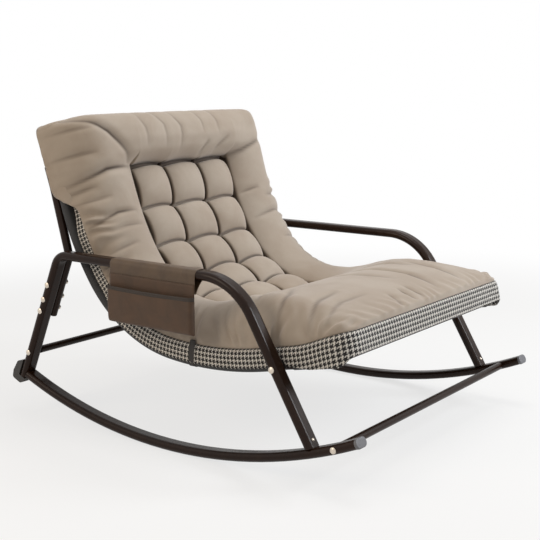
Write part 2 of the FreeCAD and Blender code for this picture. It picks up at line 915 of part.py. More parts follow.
# A small screw low on the front of each front leg

def make_foot_screws():
    screw = domed_pin(
        size("foot_screw_length"),
        size("foot_screw_diameter"),
        size("foot_screw_head"),
        size("foot_screw_head_rim"),
        size("foot_screw_head_height"),
    )
    y, z = on_front_leg(front_foot[1] + size("foot_screw_height"))
    out = (-front_leg_way[1], front_leg_way[0])
    out = out if out[0] < 0 else (-out[0], -out[1])
    lift = size("tube_depth") / 2 + size("weld_gap")
    screw.rotate(Vector(0, 0, 0), Vector(0, 0, 1), -90)
    screw.rotate(Vector(0, 0, 0), Vector(1, 0, 0), -math.degrees(math.atan2(out[1], -out[0])))
    screw.translate(Vector(size("side_spacing") / 2, y + lift * out[0], z + lift * out[1]))
    return mirrored(screw)


add_feature("foot_screws", make_foot_screws())


# Plastic plugs in the lower ends of the back braces and the front ends of the seat rails

def end_plug(x, tube_end, way):
    """A domed plug in a round tube's end at (y, z), with its dome towards a (y, z) way."""
    gap = size("weld_gap")
    plug = domed_pin(
        size("end_plug_length"),
        size("rail_diameter") - 2 * size("rail_wall") - 2 * size("plug_clearance"),
        size("rail_diameter"),
        size("end_plug_rim"),
        size("end_plug_dome"),
    )
    plug.rotate(Vector(0, 0, 0), Vector(0, 0, 1), 90)
    plug.rotate(Vector(0, 0, 0), Vector(1, 0, 0), math.degrees(math.atan2(way[1], way[0])))
    plug.translate(Vector(x, tube_end[0] + gap * way[0], tube_end[1] + gap * way[1]))
    return plug


add_feature("brace_end_plugs", mirrored(end_plug(brace_x, brace_foot, rear_leg_way)))

rail_plugs = []
for run, outward in ((0, -1), (seat_length, 1)):
    y, z, angle = station(run)
    turn = math.radians(angle)
    way = (outward * math.cos(turn), outward * math.sin(turn))
    rail_plugs.append(end_plug(rail_x, (y, z), way))
add_feature("seat_rail_plugs", mirrored(Part.makeCompound(rail_plugs)))


# Sling: one taut cloth over the rails, from the front tube to the top tube

def make_layer(low_lift, high_lift, first, last):
    """A face in the side plane between two lifts above the seat line."""
    lower = seat_curve(low_lift, first, last)
    upper = seat_curve(high_lift, first, last)
    start = straight((0, *station(first, high_lift)[:2]), (0, *station(first, low_lift)[:2]))
    end = straight((0, *station(last, low_lift)[:2]), (0, *station(last, high_lift)[:2]))
    return Part.Face(Part.Wire(Part.__sortEdges__([start, end] + lower + upper)))


sling_low = size("rail_diameter") / 2 + size("sling_gap")
sling_high = sling_low + size("sling_thickness")
sling_width = 2 * rail_x + size("rail_diameter")
add_feature("sling", across(make_layer(sling_low, sling_high, 0, seat_length), sling_width))


# Cushion base: the patterned lower half of the cushion, whose front hangs over the front tube

base_low = sling_high + size("soft_gap")
base_high = base_low + size("base_thickness")
cushion_width = 2 * (frame_inside - size("cushion_gap"))
cushion_front = -size("front_overhang")
cushion_top = seat_length + size("top_overhang")
lip_back = -(size("weld_gap") + size("end_plug_dome") + size("soft_gap"))


def make_cushion_base():
    body = across(make_layer(base_low, base_high, cushion_front, cushion_top), cushion_width)
    lip = make_layer(base_low - size("base_lip"), base_low, cushion_front, lip_back)
    return body.fuse(across(lip, cushion_width)).removeSplitter()


add_feature("cushion_base", make_cushion_base())


# Cushion top: a tufted pad with a roll at the head, a roll at the front and a bolster down each side.
# Each cross-section has arcs between its seams, and the sections follow the seat line.

tufts_end = size("first_tuft") + size("tuft_rows") * size("tuft_pitch")
front_peak = (size("first_tuft") + cushion_front) / 2


def swell(share):
    """A full rounded rise from 0 at the seams to 1 halfway."""
    return max(math.sin(math.pi * min(max(share, 0), 1)), 0) ** size("crown_fullness")


def middle_heights(run):
    """Heights above the base of the seam beside a chamber and of the chamber's crown."""
    seam = size("seam_floor")
    if run < size("first_tuft"):
        share = (run - cushion_front) / (size("first_tuft") - cushion_front)
        crown = seam + (size("front_roll_crown") - seam) * swell(share)
        return crown - size("tuft_floor") / 2, crown
    if run > tufts_end:
        share = (run - tufts_end) / (cushion_top - tufts_end)
        crown = seam + (size("head_roll_crown") - seam) * swell(share)
        return crown - size("tuft_floor") / 2, crown
    rise = swell((run - size("first_tuft")) / size("tuft_pitch") % 1)
    crown = size("chamber_crown") - size("row_dip") * (1 - rise)
    return size("tuft_floor") + (seam - size("tuft_floor")) * rise, crown


def bolster_height(run):
    """Height above the base of the side bolster's crown."""
    low, high = size("bolster_crown"), size("front_roll_crown")
    if run < front_peak:
        return max(middle_heights(run)[1], size("seam_floor"))
    if run < size("first_tuft"):
        share = (run - front_peak) / (size("first_tuft") - front_peak)
        return low + (high - low) * (1 + math.cos(math.pi * share)) / 2
    head_half = (tufts_end + cushion_top) / 2
    if run < head_half:
        return low
    share = (run - head_half) / (cushion_top - head_half)
    return size("seam_floor") + (low - size("seam_floor")) * swell(0.5 + share / 2)


def cushion_section(run):
    """One closed cross-section of the cushion top at a run along the seat line."""
    floor = base_high + size("soft_gap")
    seam, crown = middle_heights(run)
    share = (run - cushion_front) / (cushion_top - cushion_front)
    half = cushion_width / 2 - size("side_seam_rise") / 4 * math.sin(math.pi * share)
    inner = size("inner_seam")
    chamber = size("chamber_seam")
    side = size("side_seam_rise")

    def at(x, height):
        y, z, _ = station(run, floor + height)
        return Vector(x, y, z)

    def bulge(x1, h1, x2, h2, top):
        return Part.Arc(at(x1, h1), at((x1 + x2) / 2, top), at(x2, h2)).toShape()

    bolster = max(bolster_height(run), (seam + side) / 2 + size("least_crown"))
    crown = max(crown, seam + size("least_crown"))
    edges = [
        straight(at(-half, 0), at(half, 0)),
        straight(at(half, 0), at(half, side)),
        bulge(half, side, inner, seam, bolster),
        bulge(inner, seam, chamber, seam, crown),
        bulge(chamber, seam, -chamber, seam, crown),
        bulge(-chamber, seam, -inner, seam, crown),
        bulge(-inner, seam, -half, side, bolster),
        straight(at(-half, side), at(-half, 0)),
    ]
    return Part.Wire(edges)


# shares of the front roll, of each row and of the head roll at which the sections stand:
# they lie close together where the form turns fast
front_shares = (0, 0.03, 0.12, 0.28, 0.5, 0.7, 0.86, 0.95)
row_shares = (0, 0.2, 0.5, 0.8)
head_shares = (0, 0.12, 0.3, 0.55, 0.8, 0.93, 1)


def cushion_runs():
    front_length = size("first_tuft") - cushion_front
    runs = [cushion_front + front_length * share for share in front_shares]
    for row in range(int(size("tuft_rows"))):
        start = size("first_tuft") + row * size("tuft_pitch")
        runs += [start + size("tuft_pitch") * share for share in row_shares]
    head_length = cushion_top - tufts_end
    return runs + [tufts_end + head_length * share for share in head_shares]


pad = Part.makeLoft([cushion_section(run) for run in cushion_runs()], True, True)
add_feature("cushion_top", pad)


# Cushion ties: a tape from each side of the cushion down round the rail

def make_ties():
    run = low_run + size("tie_reach")
    y, z, _ = station(run)
    thin = size("tie_thickness")
    inside = rail_x + size("rail_diameter") / 2 + size("soft_gap")
    under = -size("rail_diameter") / 2 - size("soft_gap")
    cushion_side = cushion_width / 2 + size("soft_gap")
    top = size("tie_height")
    outline = [
        (cushion_side, top),
        (inside, top),
        (inside, under),
        (rail_x, under),
        (rail_x, under - thin),
        (inside + thin, under - thin),
        (inside + thin, top + thin),
        (cushion_side, top + thin),
    ]
    corners = [Vector(x, y - size("tie_width") / 2, z + lift) for x, lift in outline]
    side_face = Part.Face(Part.makePolygon(corners + corners[:1]))
    return mirrored(side_face.extrude(Vector(0, size("tie_width"), 0)))


add_feature("cushion_ties", make_ties())


# Armrest organiser on the right arm (-X): a sleeve round the arm and a pocket outside it

arm_x = -size("side_spacing") / 2
sleeve_start = -size("sleeve_front")


def make_sleeve():
    """A loop of cloth over the arm that hangs below it on the outer side."""
    clear = size("sleeve_clearance")
    radius = size("tube_depth") / 2 + clear
    reach = size("tube_width") / 2 - size("tube_depth") / 2
    drop = radius + size("sleeve_drop")

    def at(x, z):
        return Vector(arm_x + x, sleeve_start, size("arm_height") + z)

    def round_end(side, start, end):
        slope = math.sqrt(0.5)
        middle = (side * (reach + radius * slope), (start[1] + end[1]) * slope)
        return Part.Arc(at(*start), at(*middle), at(*end)).toShape()

    right = (reach + radius, 0)
    left = (-reach - radius, 0)
    edges = [
        round_end(1, right, (reach, radius)),
        straight(at(reach, radius), at(-reach, radius)),
        round_end(-1, (-reach, radius), left),
        straight(at(*left), at(left[0], -drop)),
        straight(at(left[0], -drop), at(reach, -radius)),
        round_end(1, (reach, -radius), right),
    ]
    inner = Part.Wire(edges)
    outer = inner.makeOffset2D(size("sleeve_cloth"))
    ring = Part.Face(outer).cut(Part.Face(inner))
    return ring.extrude(Vector(0, size("sleeve_length"), 0))


add_feature("organiser_sleeve", make_sleeve())

sleeve_stand_off = size("sleeve_clearance") + size("sleeve_cloth")
organiser_top = size("arm_height") + size("tube_depth") / 2 + sleeve_stand_off
organiser_low = organiser_top - size("organiser_height")
back_outside = -frame_outside - sleeve_stand_off - size("soft_gap") - size("pocket_cloth")
back_top = size("arm_height") - size("tube_depth")
pocket_outside = back_outside - size("soft_gap") - size("pocket_depth") - size("pocket_cloth")


def slab(x, z, thickness, height, start, length):
    return Part.makeBox(thickness, length, height, Vector(x, start, z))


add_feature(
    "organiser_back",
    slab(
        back_outside,
        organiser_low,
        size("pocket_cloth"),
        back_top - organiser_low,
        sleeve_start,
        size("sleeve_length"),
    ),
)


def make_pocket():
    """The pouch: front, bottom and two ends, open at the top and closed behind by the back cloth."""
    cloth = size("pocket_cloth")
    depth = size("pocket_depth") + cloth
    block = slab(
        pocket_outside,
        organiser_low,
        depth,
        size("mouth_height"),
        sleeve_start,
        size("sleeve_length"),
    )
    room = slab(
        pocket_outside + cloth,
        organiser_low + cloth,
        depth,
        size("mouth_height"),
        sleeve_start + cloth,
        size("sleeve_length") - 2 * cloth,
    )
    return block.cut(room)


add_feature("organiser_pocket", make_pocket())

add_feature(
    "pocket_binding",
    slab(
        pocket_outside - size("soft_gap") - size("binding_thickness"),
        organiser_low + size("mouth_height") - size("binding_height"),
        size("binding_thickness"),
        size("binding_height"),
        sleeve_start,
        size("sleeve_length"),
    ),
)


doc.recompute()
for item in doc.Objects:
    if "Invalid" in item.State or "Error" in item.State:
        raise RuntimeError(f"{item.Name} failed: {item.State}")
for part in subparts:
    if part.Shape.isNull() or not part.Shape.isValid():
        raise RuntimeError(f"{part.Label} has no valid shape")
for part in subparts:
    part.Shape.exportStep(f"parts/{part.Label}.step")
    print(f"{part.Label}: {len(part.Shape.Solids)} solids, {part.Shape.Volume:.0f} mm3")
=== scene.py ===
import bmesh
import bpy
import math
import numpy as np
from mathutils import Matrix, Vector, noise


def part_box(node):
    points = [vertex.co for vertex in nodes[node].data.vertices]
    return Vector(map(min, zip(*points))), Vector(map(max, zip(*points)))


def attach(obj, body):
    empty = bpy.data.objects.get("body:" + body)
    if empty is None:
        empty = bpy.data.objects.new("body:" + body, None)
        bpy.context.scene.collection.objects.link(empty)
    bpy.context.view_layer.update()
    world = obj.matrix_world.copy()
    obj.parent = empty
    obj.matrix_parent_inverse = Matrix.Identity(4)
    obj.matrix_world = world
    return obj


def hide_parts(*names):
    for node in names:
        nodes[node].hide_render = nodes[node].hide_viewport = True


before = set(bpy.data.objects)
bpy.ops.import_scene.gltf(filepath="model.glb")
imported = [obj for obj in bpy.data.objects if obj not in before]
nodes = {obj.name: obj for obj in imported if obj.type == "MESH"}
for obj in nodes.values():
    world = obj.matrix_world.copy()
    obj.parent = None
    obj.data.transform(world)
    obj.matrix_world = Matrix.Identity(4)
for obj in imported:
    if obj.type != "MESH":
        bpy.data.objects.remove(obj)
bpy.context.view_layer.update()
print("packed model loaded:", len(nodes), "nodes")

bpy.ops.object.select_all(action="DESELECT")


# node trees

def fillInputs(tree, node, inputs):
    # inputs are pairs of a name or number and a value, which may be another node's output
    for label, value in inputs:
        if isinstance(value, bpy.types.NodeSocket):
            tree.links.new(value, node.inputs[label])
        else:
            node.inputs[label].default_value = (*value, 1) if isinstance(value, tuple) else value


def addNode(tree, kind, inputs=(), **settings):
    node = tree.nodes.new("ShaderNode" + kind)
    for label, value in settings.items():
        setattr(node, label, value)
    fillInputs(tree, node, inputs)
    return node


def mathNode(tree, operation, *values):
    return addNode(tree, "Math", enumerate(values), operation=operation).outputs[0]


def spread(tree, value, low, high, start=0.0, end=1.0, **settings):
    # start to end becomes low to high
    inputs = ("Value", value), ("From Min", start), ("From Max", end), ("To Min", low), ("To Max", high)
    return addNode(tree, "MapRange", inputs, **settings).outputs["Result"]


def noiseNode(tree, vector, scale, detail, roughness, distortion=0.0):
    inputs = (
        ("Vector", vector), ("Scale", scale), ("Detail", detail), ("Roughness", roughness),
        ("Distortion", distortion),
    )
    return addNode(tree, "TexNoise", inputs).outputs["Fac"]


def mixColours(tree, share, first, second):
    inputs = ("Factor", share), ("A", first), ("B", second)
    return addNode(tree, "Mix", inputs, data_type="RGBA").outputs["Result"]


def bumpNode(tree, height, strength, distance):
    inputs = ("Height", height), ("Strength", strength), ("Distance", distance)
    return addNode(tree, "Bump", inputs).outputs[0]


def mixedSurface(tree, output, share, first, second):
    mix = addNode(tree, "MixShader", enumerate((share, first.outputs[0], second.outputs[0])))
    addNode(tree, output, (("Surface", mix.outputs[0]),))


# camera, floor and lights

cameraSettings = {
    "place": (-2.53227, -1.8828, 1.00669),
    "turn": (79.6742, 0.0, -53.4043),  # degrees
    "lens": 70.0,  # millimetres on a 36 mm sensor
    "farEnd": 100.0,
}

studioSettings = {
    "floorSize": 60.0,
    "floorColour": (0.86, 0.855, 0.85),
    "fade": (1.6, 3.4),  # metres from the middle, between which the floor turns white
    "ownGlow": 0.72,  # share of plain white that the camera sees in the near floor
    "ambient": (1.0, 0.93, 0.84),
    "ambientStrength": 0.30,
    # name, place, size, watts, colour
    "lamps": (
        ("keyLamp", (2.0, -3.0, 2.3), 1.5, 92.0, (0.92, 0.96, 1.0)),
        ("warmLamp", (-2.9, 1.2, 2.1), 1.6, 26.0, (1.0, 0.84, 0.66)),
        ("topLamp", (0.3, -0.2, 3.2), 1.8, 30.0, (1.0, 0.985, 0.96)),
    ),
    "target": (0.0, 0.0, 0.45),
}

white = (1, 1, 1)


def placeObject(name, data, place=(0, 0, 0), turn=(0, 0, 0)):
    item = bpy.data.objects.new(name, data)
    item.location = place
    item.rotation_euler = turn
    bpy.context.scene.collection.objects.link(item)
    return item


def addCamera():
    look = cameraSettings
    data = bpy.data.cameras.new("photoCamera")
    data.lens, data.sensor_width, data.clip_end = look["lens"], 36.0, look["farEnd"]
    turn = [math.radians(a) for a in look["turn"]]
    bpy.context.scene.camera = placeObject("photoCamera", data, look["place"], turn)


def addLamps():
    for name, place, size, watts, colour in studioSettings["lamps"]:
        data = bpy.data.lights.new(name, "AREA")
        data.shape, data.size, data.energy, data.color = "DISK", size, watts, colour
        aim = Vector(studioSettings["target"]) - Vector(place)
        placeObject(name, data, place, aim.to_track_quat("-Z", "Y").to_euler())


def seenMask(tree):
    # 1 for what the camera sees straight, in a mirror or through glass
    path = addNode(tree, "LightPath").outputs
    seen = mathNode(tree, "MAXIMUM", path["Is Camera Ray"], path["Is Glossy Ray"])
    return mathNode(tree, "MAXIMUM", seen, path["Is Transmission Ray"])


def addWorld():
    look = studioSettings
    world = bpy.data.worlds.new("studioWorld")
    bpy.context.scene.world = world
    world.use_nodes = True
    tree = world.node_tree
    tree.nodes.clear()
    inputs = ("Color", look["ambient"]), ("Strength", look["ambientStrength"])
    light = addNode(tree, "Background", inputs)
    plain = addNode(tree, "Background", (("Color", white),))
    mixedSurface(tree, "OutputWorld", seenMask(tree), light, plain)


def floorMaterial():
    look = studioSettings
    material = bpy.data.materials.new("paleFloor")
    material.use_nodes = True
    tree = material.node_tree
    tree.nodes.clear()
    diffuse = addNode(tree, "BsdfDiffuse", (("Color", look["floorColour"]),))
    glow = addNode(tree, "Emission", (("Color", white),))
    place = addNode(tree, "TexCoord").outputs["Object"]
    away = addNode(tree, "VectorMath", ((0, place),), operation="LENGTH").outputs["Value"]
    fade = spread(tree, away, look["ownGlow"], 1.0, *look["fade"], interpolation_type="SMOOTHSTEP")
    seen = mathNode(tree, "MULTIPLY", fade, seenMask(tree))
    mixedSurface(tree, "OutputMaterial", seen, diffuse, glow)
    return material


def addFloor():
    bpy.ops.mesh.primitive_plane_add(size=studioSettings["floorSize"], location=(0, 0, 0))
    floor = bpy.context.object
    floor.name = "studioFloor"
    floor.data.materials.append(floorMaterial())
    floor.select_set(False)


addCamera()
addLamps()
addWorld()
addFloor()
bpy.context.scene.view_settings.view_transform = "Standard"
print("camera, lamps and floor set")


# shader groups that several finishes use

def newGroup(name, values, results):
    # every group takes a vector and numbers, and gives numbers
    group = bpy.data.node_groups.new(name, "ShaderNodeTree")
    group.interface.new_socket("Vector", in_out="INPUT", socket_type="NodeSocketVector")
    for side, labels in (("INPUT", values), ("OUTPUT", results)):
        for label in labels:
            group.interface.new_socket(label, in_out=side, socket_type="NodeSocketFloat")
    return group, group.nodes.new("NodeGroupInput").outputs


def closeGroup(group, results):
    fillInputs(group, group.nodes.new("NodeGroupOutput"), results.items())
    return group


def placeGroup(tree, group, vector, values):
    inputs = (("Vector", vector), *values.items())
    return addNode(tree, "Group", inputs, node_tree=group).outputs


def makeNapGroup():
    # brushed cloth: large soft patches where the nap lies another way, and a fine grain
    group, given = newGroup("clothNap", ("Patches", "Grain"), ("Patch", "Height"))
    patch = noiseNode(group, given["Vector"], given["Patches"], 4.0, 0.55, 0.4)
    grain = noiseNode(group, given["Vector"], given["Grain"], 2.0, 0.6)
    slubs = mathNode(group, "MULTIPLY", given["Grain"], 0.13)
    slub = noiseNode(group, given["Vector"], slubs, 2.0, 0.5)
    height = mathNode(group, "MULTIPLY_ADD", slub, 0.6, grain)
    return closeGroup(group, {"Patch": patch, "Height": height})


def threadsOf(group, given):
    # thread number and rounded back, for both ways of the cloth's own map in metres
    split = addNode(group, "SeparateXYZ", ((0, given["Vector"]),)).outputs
    threads = []
    for axis in ("X", "Y"):
        place = mathNode(group, "DIVIDE", split[axis], given["Thread"])
        wave = mathNode(group, "SINE", mathNode(group, "MULTIPLY", place, math.pi))
        threads.append((mathNode(group, "FLOOR", place), mathNode(group, "ABSOLUTE", wave)))
    return threads


def crossThreads(group, over, warp, weft):
    # the warp's value where it lies over the weft, and the weft's value elsewhere
    under = mathNode(group, "SUBTRACT", 1.0, over)
    warp = mathNode(group, "MULTIPLY", warp, over)
    return mathNode(group, "ADD", warp, mathNode(group, "MULTIPLY", weft, under))


def makeWeaveGroup():
    group, given = newGroup("plainWeave", ("Thread",), ("Height", "Crossing"))
    (i, warp), (j, weft) = threadsOf(group, given)
    odd = mathNode(group, "FLOORED_MODULO", mathNode(group, "ADD", i, j), 2.0)
    return closeGroup(group, {"Height": crossThreads(group, odd, warp, weft), "Crossing": odd})


def makeHoundstoothGroup():
    # five dark and three light threads each way in a two-over-two twill
    group, given = newGroup("houndstoothTwill", ("Thread",), ("Light", "Height"))
    (i, warp), (j, weft) = threadsOf(group, given)
    lights = [
        mathNode(group, "LESS_THAN", mathNode(group, "FLOORED_MODULO", index, 8.0), 2.5)
        for index in (i, j)
    ]
    twill = mathNode(group, "FLOORED_MODULO", mathNode(group, "ADD", i, j), 4.0)
    over = mathNode(group, "LESS_THAN", twill, 1.5)
    light = crossThreads(group, over, *lights)
    return closeGroup(group, {"Light": light, "Height": crossThreads(group, over, warp, weft)})


def makeWearGroup():
    # handled surfaces: fine scuffs and a slow change of gloss
    group, given = newGroup("handledSurface", ("Scuffs", "Peel"), ("Gloss", "Height"))
    slow = noiseNode(group, given["Vector"], 7.0, 4.0, 0.6)
    scuffs = noiseNode(group, given["Vector"], given["Scuffs"], 5.0, 0.7, 0.6)
    peel = noiseNode(group, given["Vector"], given["Peel"], 1.0, 0.4)
    sharp = spread(group, scuffs, 0.0, 1.0, 0.5, 0.75)
    gloss = mathNode(group, "MULTIPLY_ADD", sharp, 0.5, slow)
    return closeGroup(group, {"Gloss": gloss, "Height": peel})


napGroup = makeNapGroup()
weaveGroup = makeWeaveGroup()
houndstoothGroup = makeHoundstoothGroup()
wearGroup = makeWearGroup()


# finishes: one for each material slot

finishSettings = {
    "frame_paint": {
        "kind": "hard",
        "sockets": {
            "Metallic": 0.0, "Coat Weight": 0.12, "Coat Roughness": 0.08, "Specular IOR Level": 0.10,
        },
        "colours": ((0.017, 0.0075, 0.004), (0.030, 0.014, 0.008)),
        "roughness": (0.26, 0.42), "wear": {"Scuffs": 90.0, "Peel": 900.0}, "bump": 0.12,
    },
    "bolt_steel": {
        "kind": "hard", "sockets": {"Metallic": 0.65, "Specular IOR Level": 0.6},
        "colours": ((0.80, 0.72, 0.62), (0.62, 0.54, 0.45)),
        "roughness": (0.24, 0.45), "wear": {"Scuffs": 260.0, "Peel": 1500.0}, "bump": 0.1,
    },
    "grey_plastic": {
        "kind": "hard", "sockets": {"Metallic": 0.0},
        "colours": ((0.125, 0.125, 0.14), (0.17, 0.17, 0.18)),
        "roughness": (0.38, 0.55), "wear": {"Scuffs": 120.0, "Peel": 1800.0}, "bump": 0.2,
    },
    "dark_plastic": {
        "kind": "hard", "sockets": {"Metallic": 0.0},
        "colours": ((0.022, 0.018, 0.016), (0.045, 0.04, 0.036)),
        "roughness": (0.4, 0.6), "wear": {"Scuffs": 120.0, "Peel": 1800.0}, "bump": 0.2,
    },
    "taupe_cloth": {
        "kind": "brushed",
        "sockets": {
            "Roughness": 0.78, "Sheen Weight": 0.35, "Sheen Roughness": 0.45,
            "Sheen Tint": (0.95, 0.93, 0.95), "Specular IOR Level": 0.35,
        },
        # foldShade: the dark warm colour of the painted shade in the creases and sewn lines
        "colours": ((0.455, 0.39, 0.325), (0.395, 0.325, 0.262)), "foldShade": (0.055, 0.036, 0.025),
        "nap": {"Patches": 7.0, "Grain": 1100.0}, "bump": 0.25,
    },
    "organiser_cloth": {
        "kind": "brushed", "sockets": {"Roughness": 0.7, "Sheen Weight": 0.15, "Sheen Roughness": 0.5},
        "colours": ((0.082, 0.041, 0.019), (0.058, 0.029, 0.013)),
        "nap": {"Patches": 16.0, "Grain": 1300.0}, "bump": 0.3,
    },
    "sleeve_cloth": {
        "kind": "brushed", "sockets": {"Roughness": 0.55, "Sheen Weight": 0.1, "Sheen Roughness": 0.4},
        "colours": ((0.100, 0.060, 0.031), (0.070, 0.041, 0.021)),
        "nap": {"Patches": 16.0, "Grain": 1300.0}, "bump": 0.3,
    },
    "sling_cloth": {
        "kind": "woven", "sockets": {"Roughness": 0.62, "Sheen Weight": 0.05},
        "colours": ((0.012, 0.011, 0.011), (0.022, 0.020, 0.019)), "thread": 0.0022, "bump": 0.6,
    },
    "binding_cloth": {
        "kind": "woven", "sockets": {"Roughness": 0.7},
        "colours": ((0.030, 0.021, 0.016), (0.05, 0.036, 0.027)), "thread": 0.0016, "bump": 0.6,
    },
    "tie_tape": {
        "kind": "woven", "sockets": {"Roughness": 0.7},
        "colours": ((0.020, 0.017, 0.015), (0.035, 0.03, 0.027)), "thread": 0.0012, "bump": 0.5,
    },
    "houndstooth_cloth": {
        "kind": "houndstooth",
        "sockets": {"Roughness": 0.85, "Sheen Weight": 0.15, "Sheen Roughness": 0.5},
        # dark, light, and light in the worn patches
        "colours": ((0.007, 0.006, 0.006), (0.86, 0.83, 0.78), (0.60, 0.56, 0.51)),
        "thread": 0.0016, "bump": 0.5,
    },
}


def hardFinish(tree, place, look):
    wear = placeGroup(tree, wearGroup, place["Object"], look["wear"])
    gloss = wear["Gloss"]
    return {
        "Base Color": mixColours(tree, spread(tree, gloss, 0.0, 1.0, 0.35, 1.0), *look["colours"]),
        "Roughness": spread(tree, gloss, *look["roughness"], 0.3, 1.0),
        "Normal": bumpNode(tree, wear["Height"], look["bump"], 0.0002),
    }


def brushedFinish(tree, place, look):
    nap = placeGroup(tree, napGroup, place["Object"], look["nap"])
    share = spread(tree, nap["Patch"], 0.0, 1.0, 0.36, 0.64)
    fine = spread(tree, nap["Height"], -0.1, 0.1, 0.5, 1.1)
    colour = mixColours(tree, mathNode(tree, "ADD", share, fine), *look["colours"])
    # painted shade: a dark warm colour is mixed in where the foldShade attribute marks creases and sewn
    # lines
    if "foldShade" in look:
        foldShade = addNode(tree, "Attribute", attribute_name="foldShade").outputs["Fac"]
        colour = mixColours(tree, foldShade, colour, look["foldShade"])
    return {"Base Color": colour, "Normal": bumpNode(tree, nap["Height"], look["bump"], 0.0004)}


def wovenFinish(tree, place, look):
    weave = placeGroup(tree, weaveGroup, place["UV"], {"Thread": look["thread"]})
    nap = placeGroup(tree, napGroup, place["Object"], {"Patches": 11.0, "Grain": 700.0})
    share = mathNode(tree, "MULTIPLY", weave["Crossing"], spread(tree, nap["Patch"], 0.4, 1.3))
    return {
        "Base Color": mixColours(tree, share, *look["colours"]),
        "Normal": bumpNode(tree, weave["Height"], look["bump"], look["thread"] / 3),
    }


def houndstoothFinish(tree, place, look):
    dark, light, worn = look["colours"]
    weave = placeGroup(tree, houndstoothGroup, place["UV"], {"Thread": look["thread"]})
    nap = placeGroup(tree, napGroup, place["Object"], {"Patches": 25.0, "Grain": 900.0})
    light = mixColours(tree, spread(tree, nap["Patch"], 0.0, 0.6), light, worn)
    return {
        "Base Color": mixColours(tree, weave["Light"], dark, light),
        "Normal": bumpNode(tree, weave["Height"], look["bump"], 0.0006),
    }


finishKinds = {
    "hard": hardFinish, "brushed": brushedFinish, "woven": wovenFinish, "houndstooth": houndstoothFinish,
}


def makeFinish(slot, look):
    first, last = slot.split("_")
    material = bpy.data.materials.new(first + last.title())
    material.use_nodes = True
    tree = material.node_tree
    place = addNode(tree, "TexCoord").outputs
    made = finishKinds[look["kind"]](tree, place, look)
    fillInputs(tree, tree.nodes["Principled BSDF"], {**look["sockets"], **made}.items())
    return material


finishes = {slot: makeFinish(slot, look) for slot, look in finishSettings.items()}


def dressNodes():
    count = 0
    for node in nodes.values():
        for slot in node.material_slots:
            key = slot.material.name.split(".")[0] if slot.material else ""
            if key in finishes:
                slot.material = finishes[key]
                count += 1
    print("finishes made:", len(finishes), "slots dressed:", count)


dressNodes()


# the seat line: the rails' middle line in the side plane, from the front end

seatLineSettings = {
    "start": (-0.5601, 0.3302),  # y and z of the front end, metres
    # metres along the line, slope in degrees
    "slopes": (
        (-0.3, -12), (0.266, -12), (0.47544, 0), (0.58016, 6),
        (0.93935, 55), (1.16275, 71), (1.7, 71),
    ),
    "reach": (-0.15, 1.6),  # runs in the table
    "step": 0.0005,
    "search": (-0.1, 1.55, 0.01),  # runs that the nearest place is looked for at
    "searchRounds": 4,
    "searchShare": 0.8,
    "batch": 20000,
}


def makeSeatTable():
    look = seatLineSettings
    step = look["step"]
    runs = np.arange(*look["reach"], step)
    places, slopes = zip(*look["slopes"])
    slope = np.radians(np.interp(runs + step / 2, places, slopes))
    y = np.concatenate(([0], np.cumsum(np.cos(slope) * step)))[:-1]
    z = np.concatenate(([0], np.cumsum(np.sin(slope) * step)))[:-1]
    startY, startZ = look["start"]
    y += startY - np.interp(0, runs, y)
    z += startZ - np.interp(0, runs, z)
    return runs, y, z, np.radians(np.interp(runs, places, slopes))


seatRuns, seatY, seatZ, seatSlope = makeSeatTable()


def seatAt(run):
    return [np.interp(run, seatRuns, values) for values in (seatY, seatZ, seatSlope)]


def onSeat(run, x, lift):
    y, z, slope = seatAt(run)
    return np.stack(
        np.broadcast_arrays(x, y - lift * np.sin(slope), z + lift * np.cos(slope)), axis=-1
    )


def offSeat(points):
    # run, x and lift of points near the seat line
    look = seatLineSettings
    coarse = np.arange(*look["search"])
    lineY, lineZ, _ = seatAt(coarse)
    run = np.empty(len(points))
    for first in range(0, len(points), look["batch"]):
        part = points[first : first + look["batch"]]
        gap = (part[:, 1:2] - lineY) ** 2 + (part[:, 2:3] - lineZ) ** 2
        run[first : first + look["batch"]] = coarse[gap.argmin(axis=1)]
    for _ in range(look["searchRounds"]):
        y, z, slope = seatAt(run)
        ahead = (points[:, 1] - y) * np.cos(slope) + (points[:, 2] - z) * np.sin(slope)
        run = run + look["searchShare"] * ahead
    y, z, slope = seatAt(run)
    lift = (points[:, 2] - z) * np.cos(slope) - (points[:, 1] - y) * np.sin(slope)
    return run, points[:, 0], lift


# helpers for soft pieces

def smoothStep(low, high, value):
    share = np.clip((value - low) / (high - low), 0, 1)
    return share * share * (3 - 2 * share)


def bell(gap, width):
    return np.exp(-((gap / width) ** 2))


def unit(vectors):
    return vectors / np.linalg.norm(vectors, axis=1, keepdims=True)


def travelled(line):
    # metres along a line at each of its points
    return np.concatenate(([0], np.cumsum(np.linalg.norm(np.diff(line, axis=0), axis=1))))


def softNoise(points, size, seed):
    # one value from -1 to 1 for each point
    shifted = points / size + seed * 17.3
    return np.array([noise.noise(Vector(p)) for p in shifted])


def curveThrough(marks, places, soften):
    # a smooth curve through marks given as (place, value)
    step, spare = 0.002, 0.2
    grid = np.arange(marks[0][0] - spare, marks[-1][0] + spare, step)
    values = np.interp(grid, *zip(*marks))
    reach = max(int(soften / step), 1)
    window = np.hanning(2 * reach + 3)[1:-1]
    padded = np.pad(values, reach, mode="edge")
    values = np.convolve(padded, window / window.sum(), mode="valid")
    return np.interp(places, grid, values)


def arcPoints(centre, radius, first, last):
    # points 15 degrees apart, from the first to the last angle in degrees
    turns = np.radians(np.linspace(first, last, abs(last - first) // 15 + 1))
    return [(centre[0] + radius * math.cos(t), centre[1] + radius * math.sin(t)) for t in turns]


def gridFaces(rows, columns, wrapColumns=False, start=0, flip=False):
    faces = []
    for i in range(rows - 1):
        for j in range(columns if wrapColumns else columns - 1):
            here = start + i * columns
            nextJ = (j + 1) % columns
            face = here + j, here + nextJ, here + columns + nextJ, here + columns + j
            faces.append(face[::-1] if flip else face)
    return faces


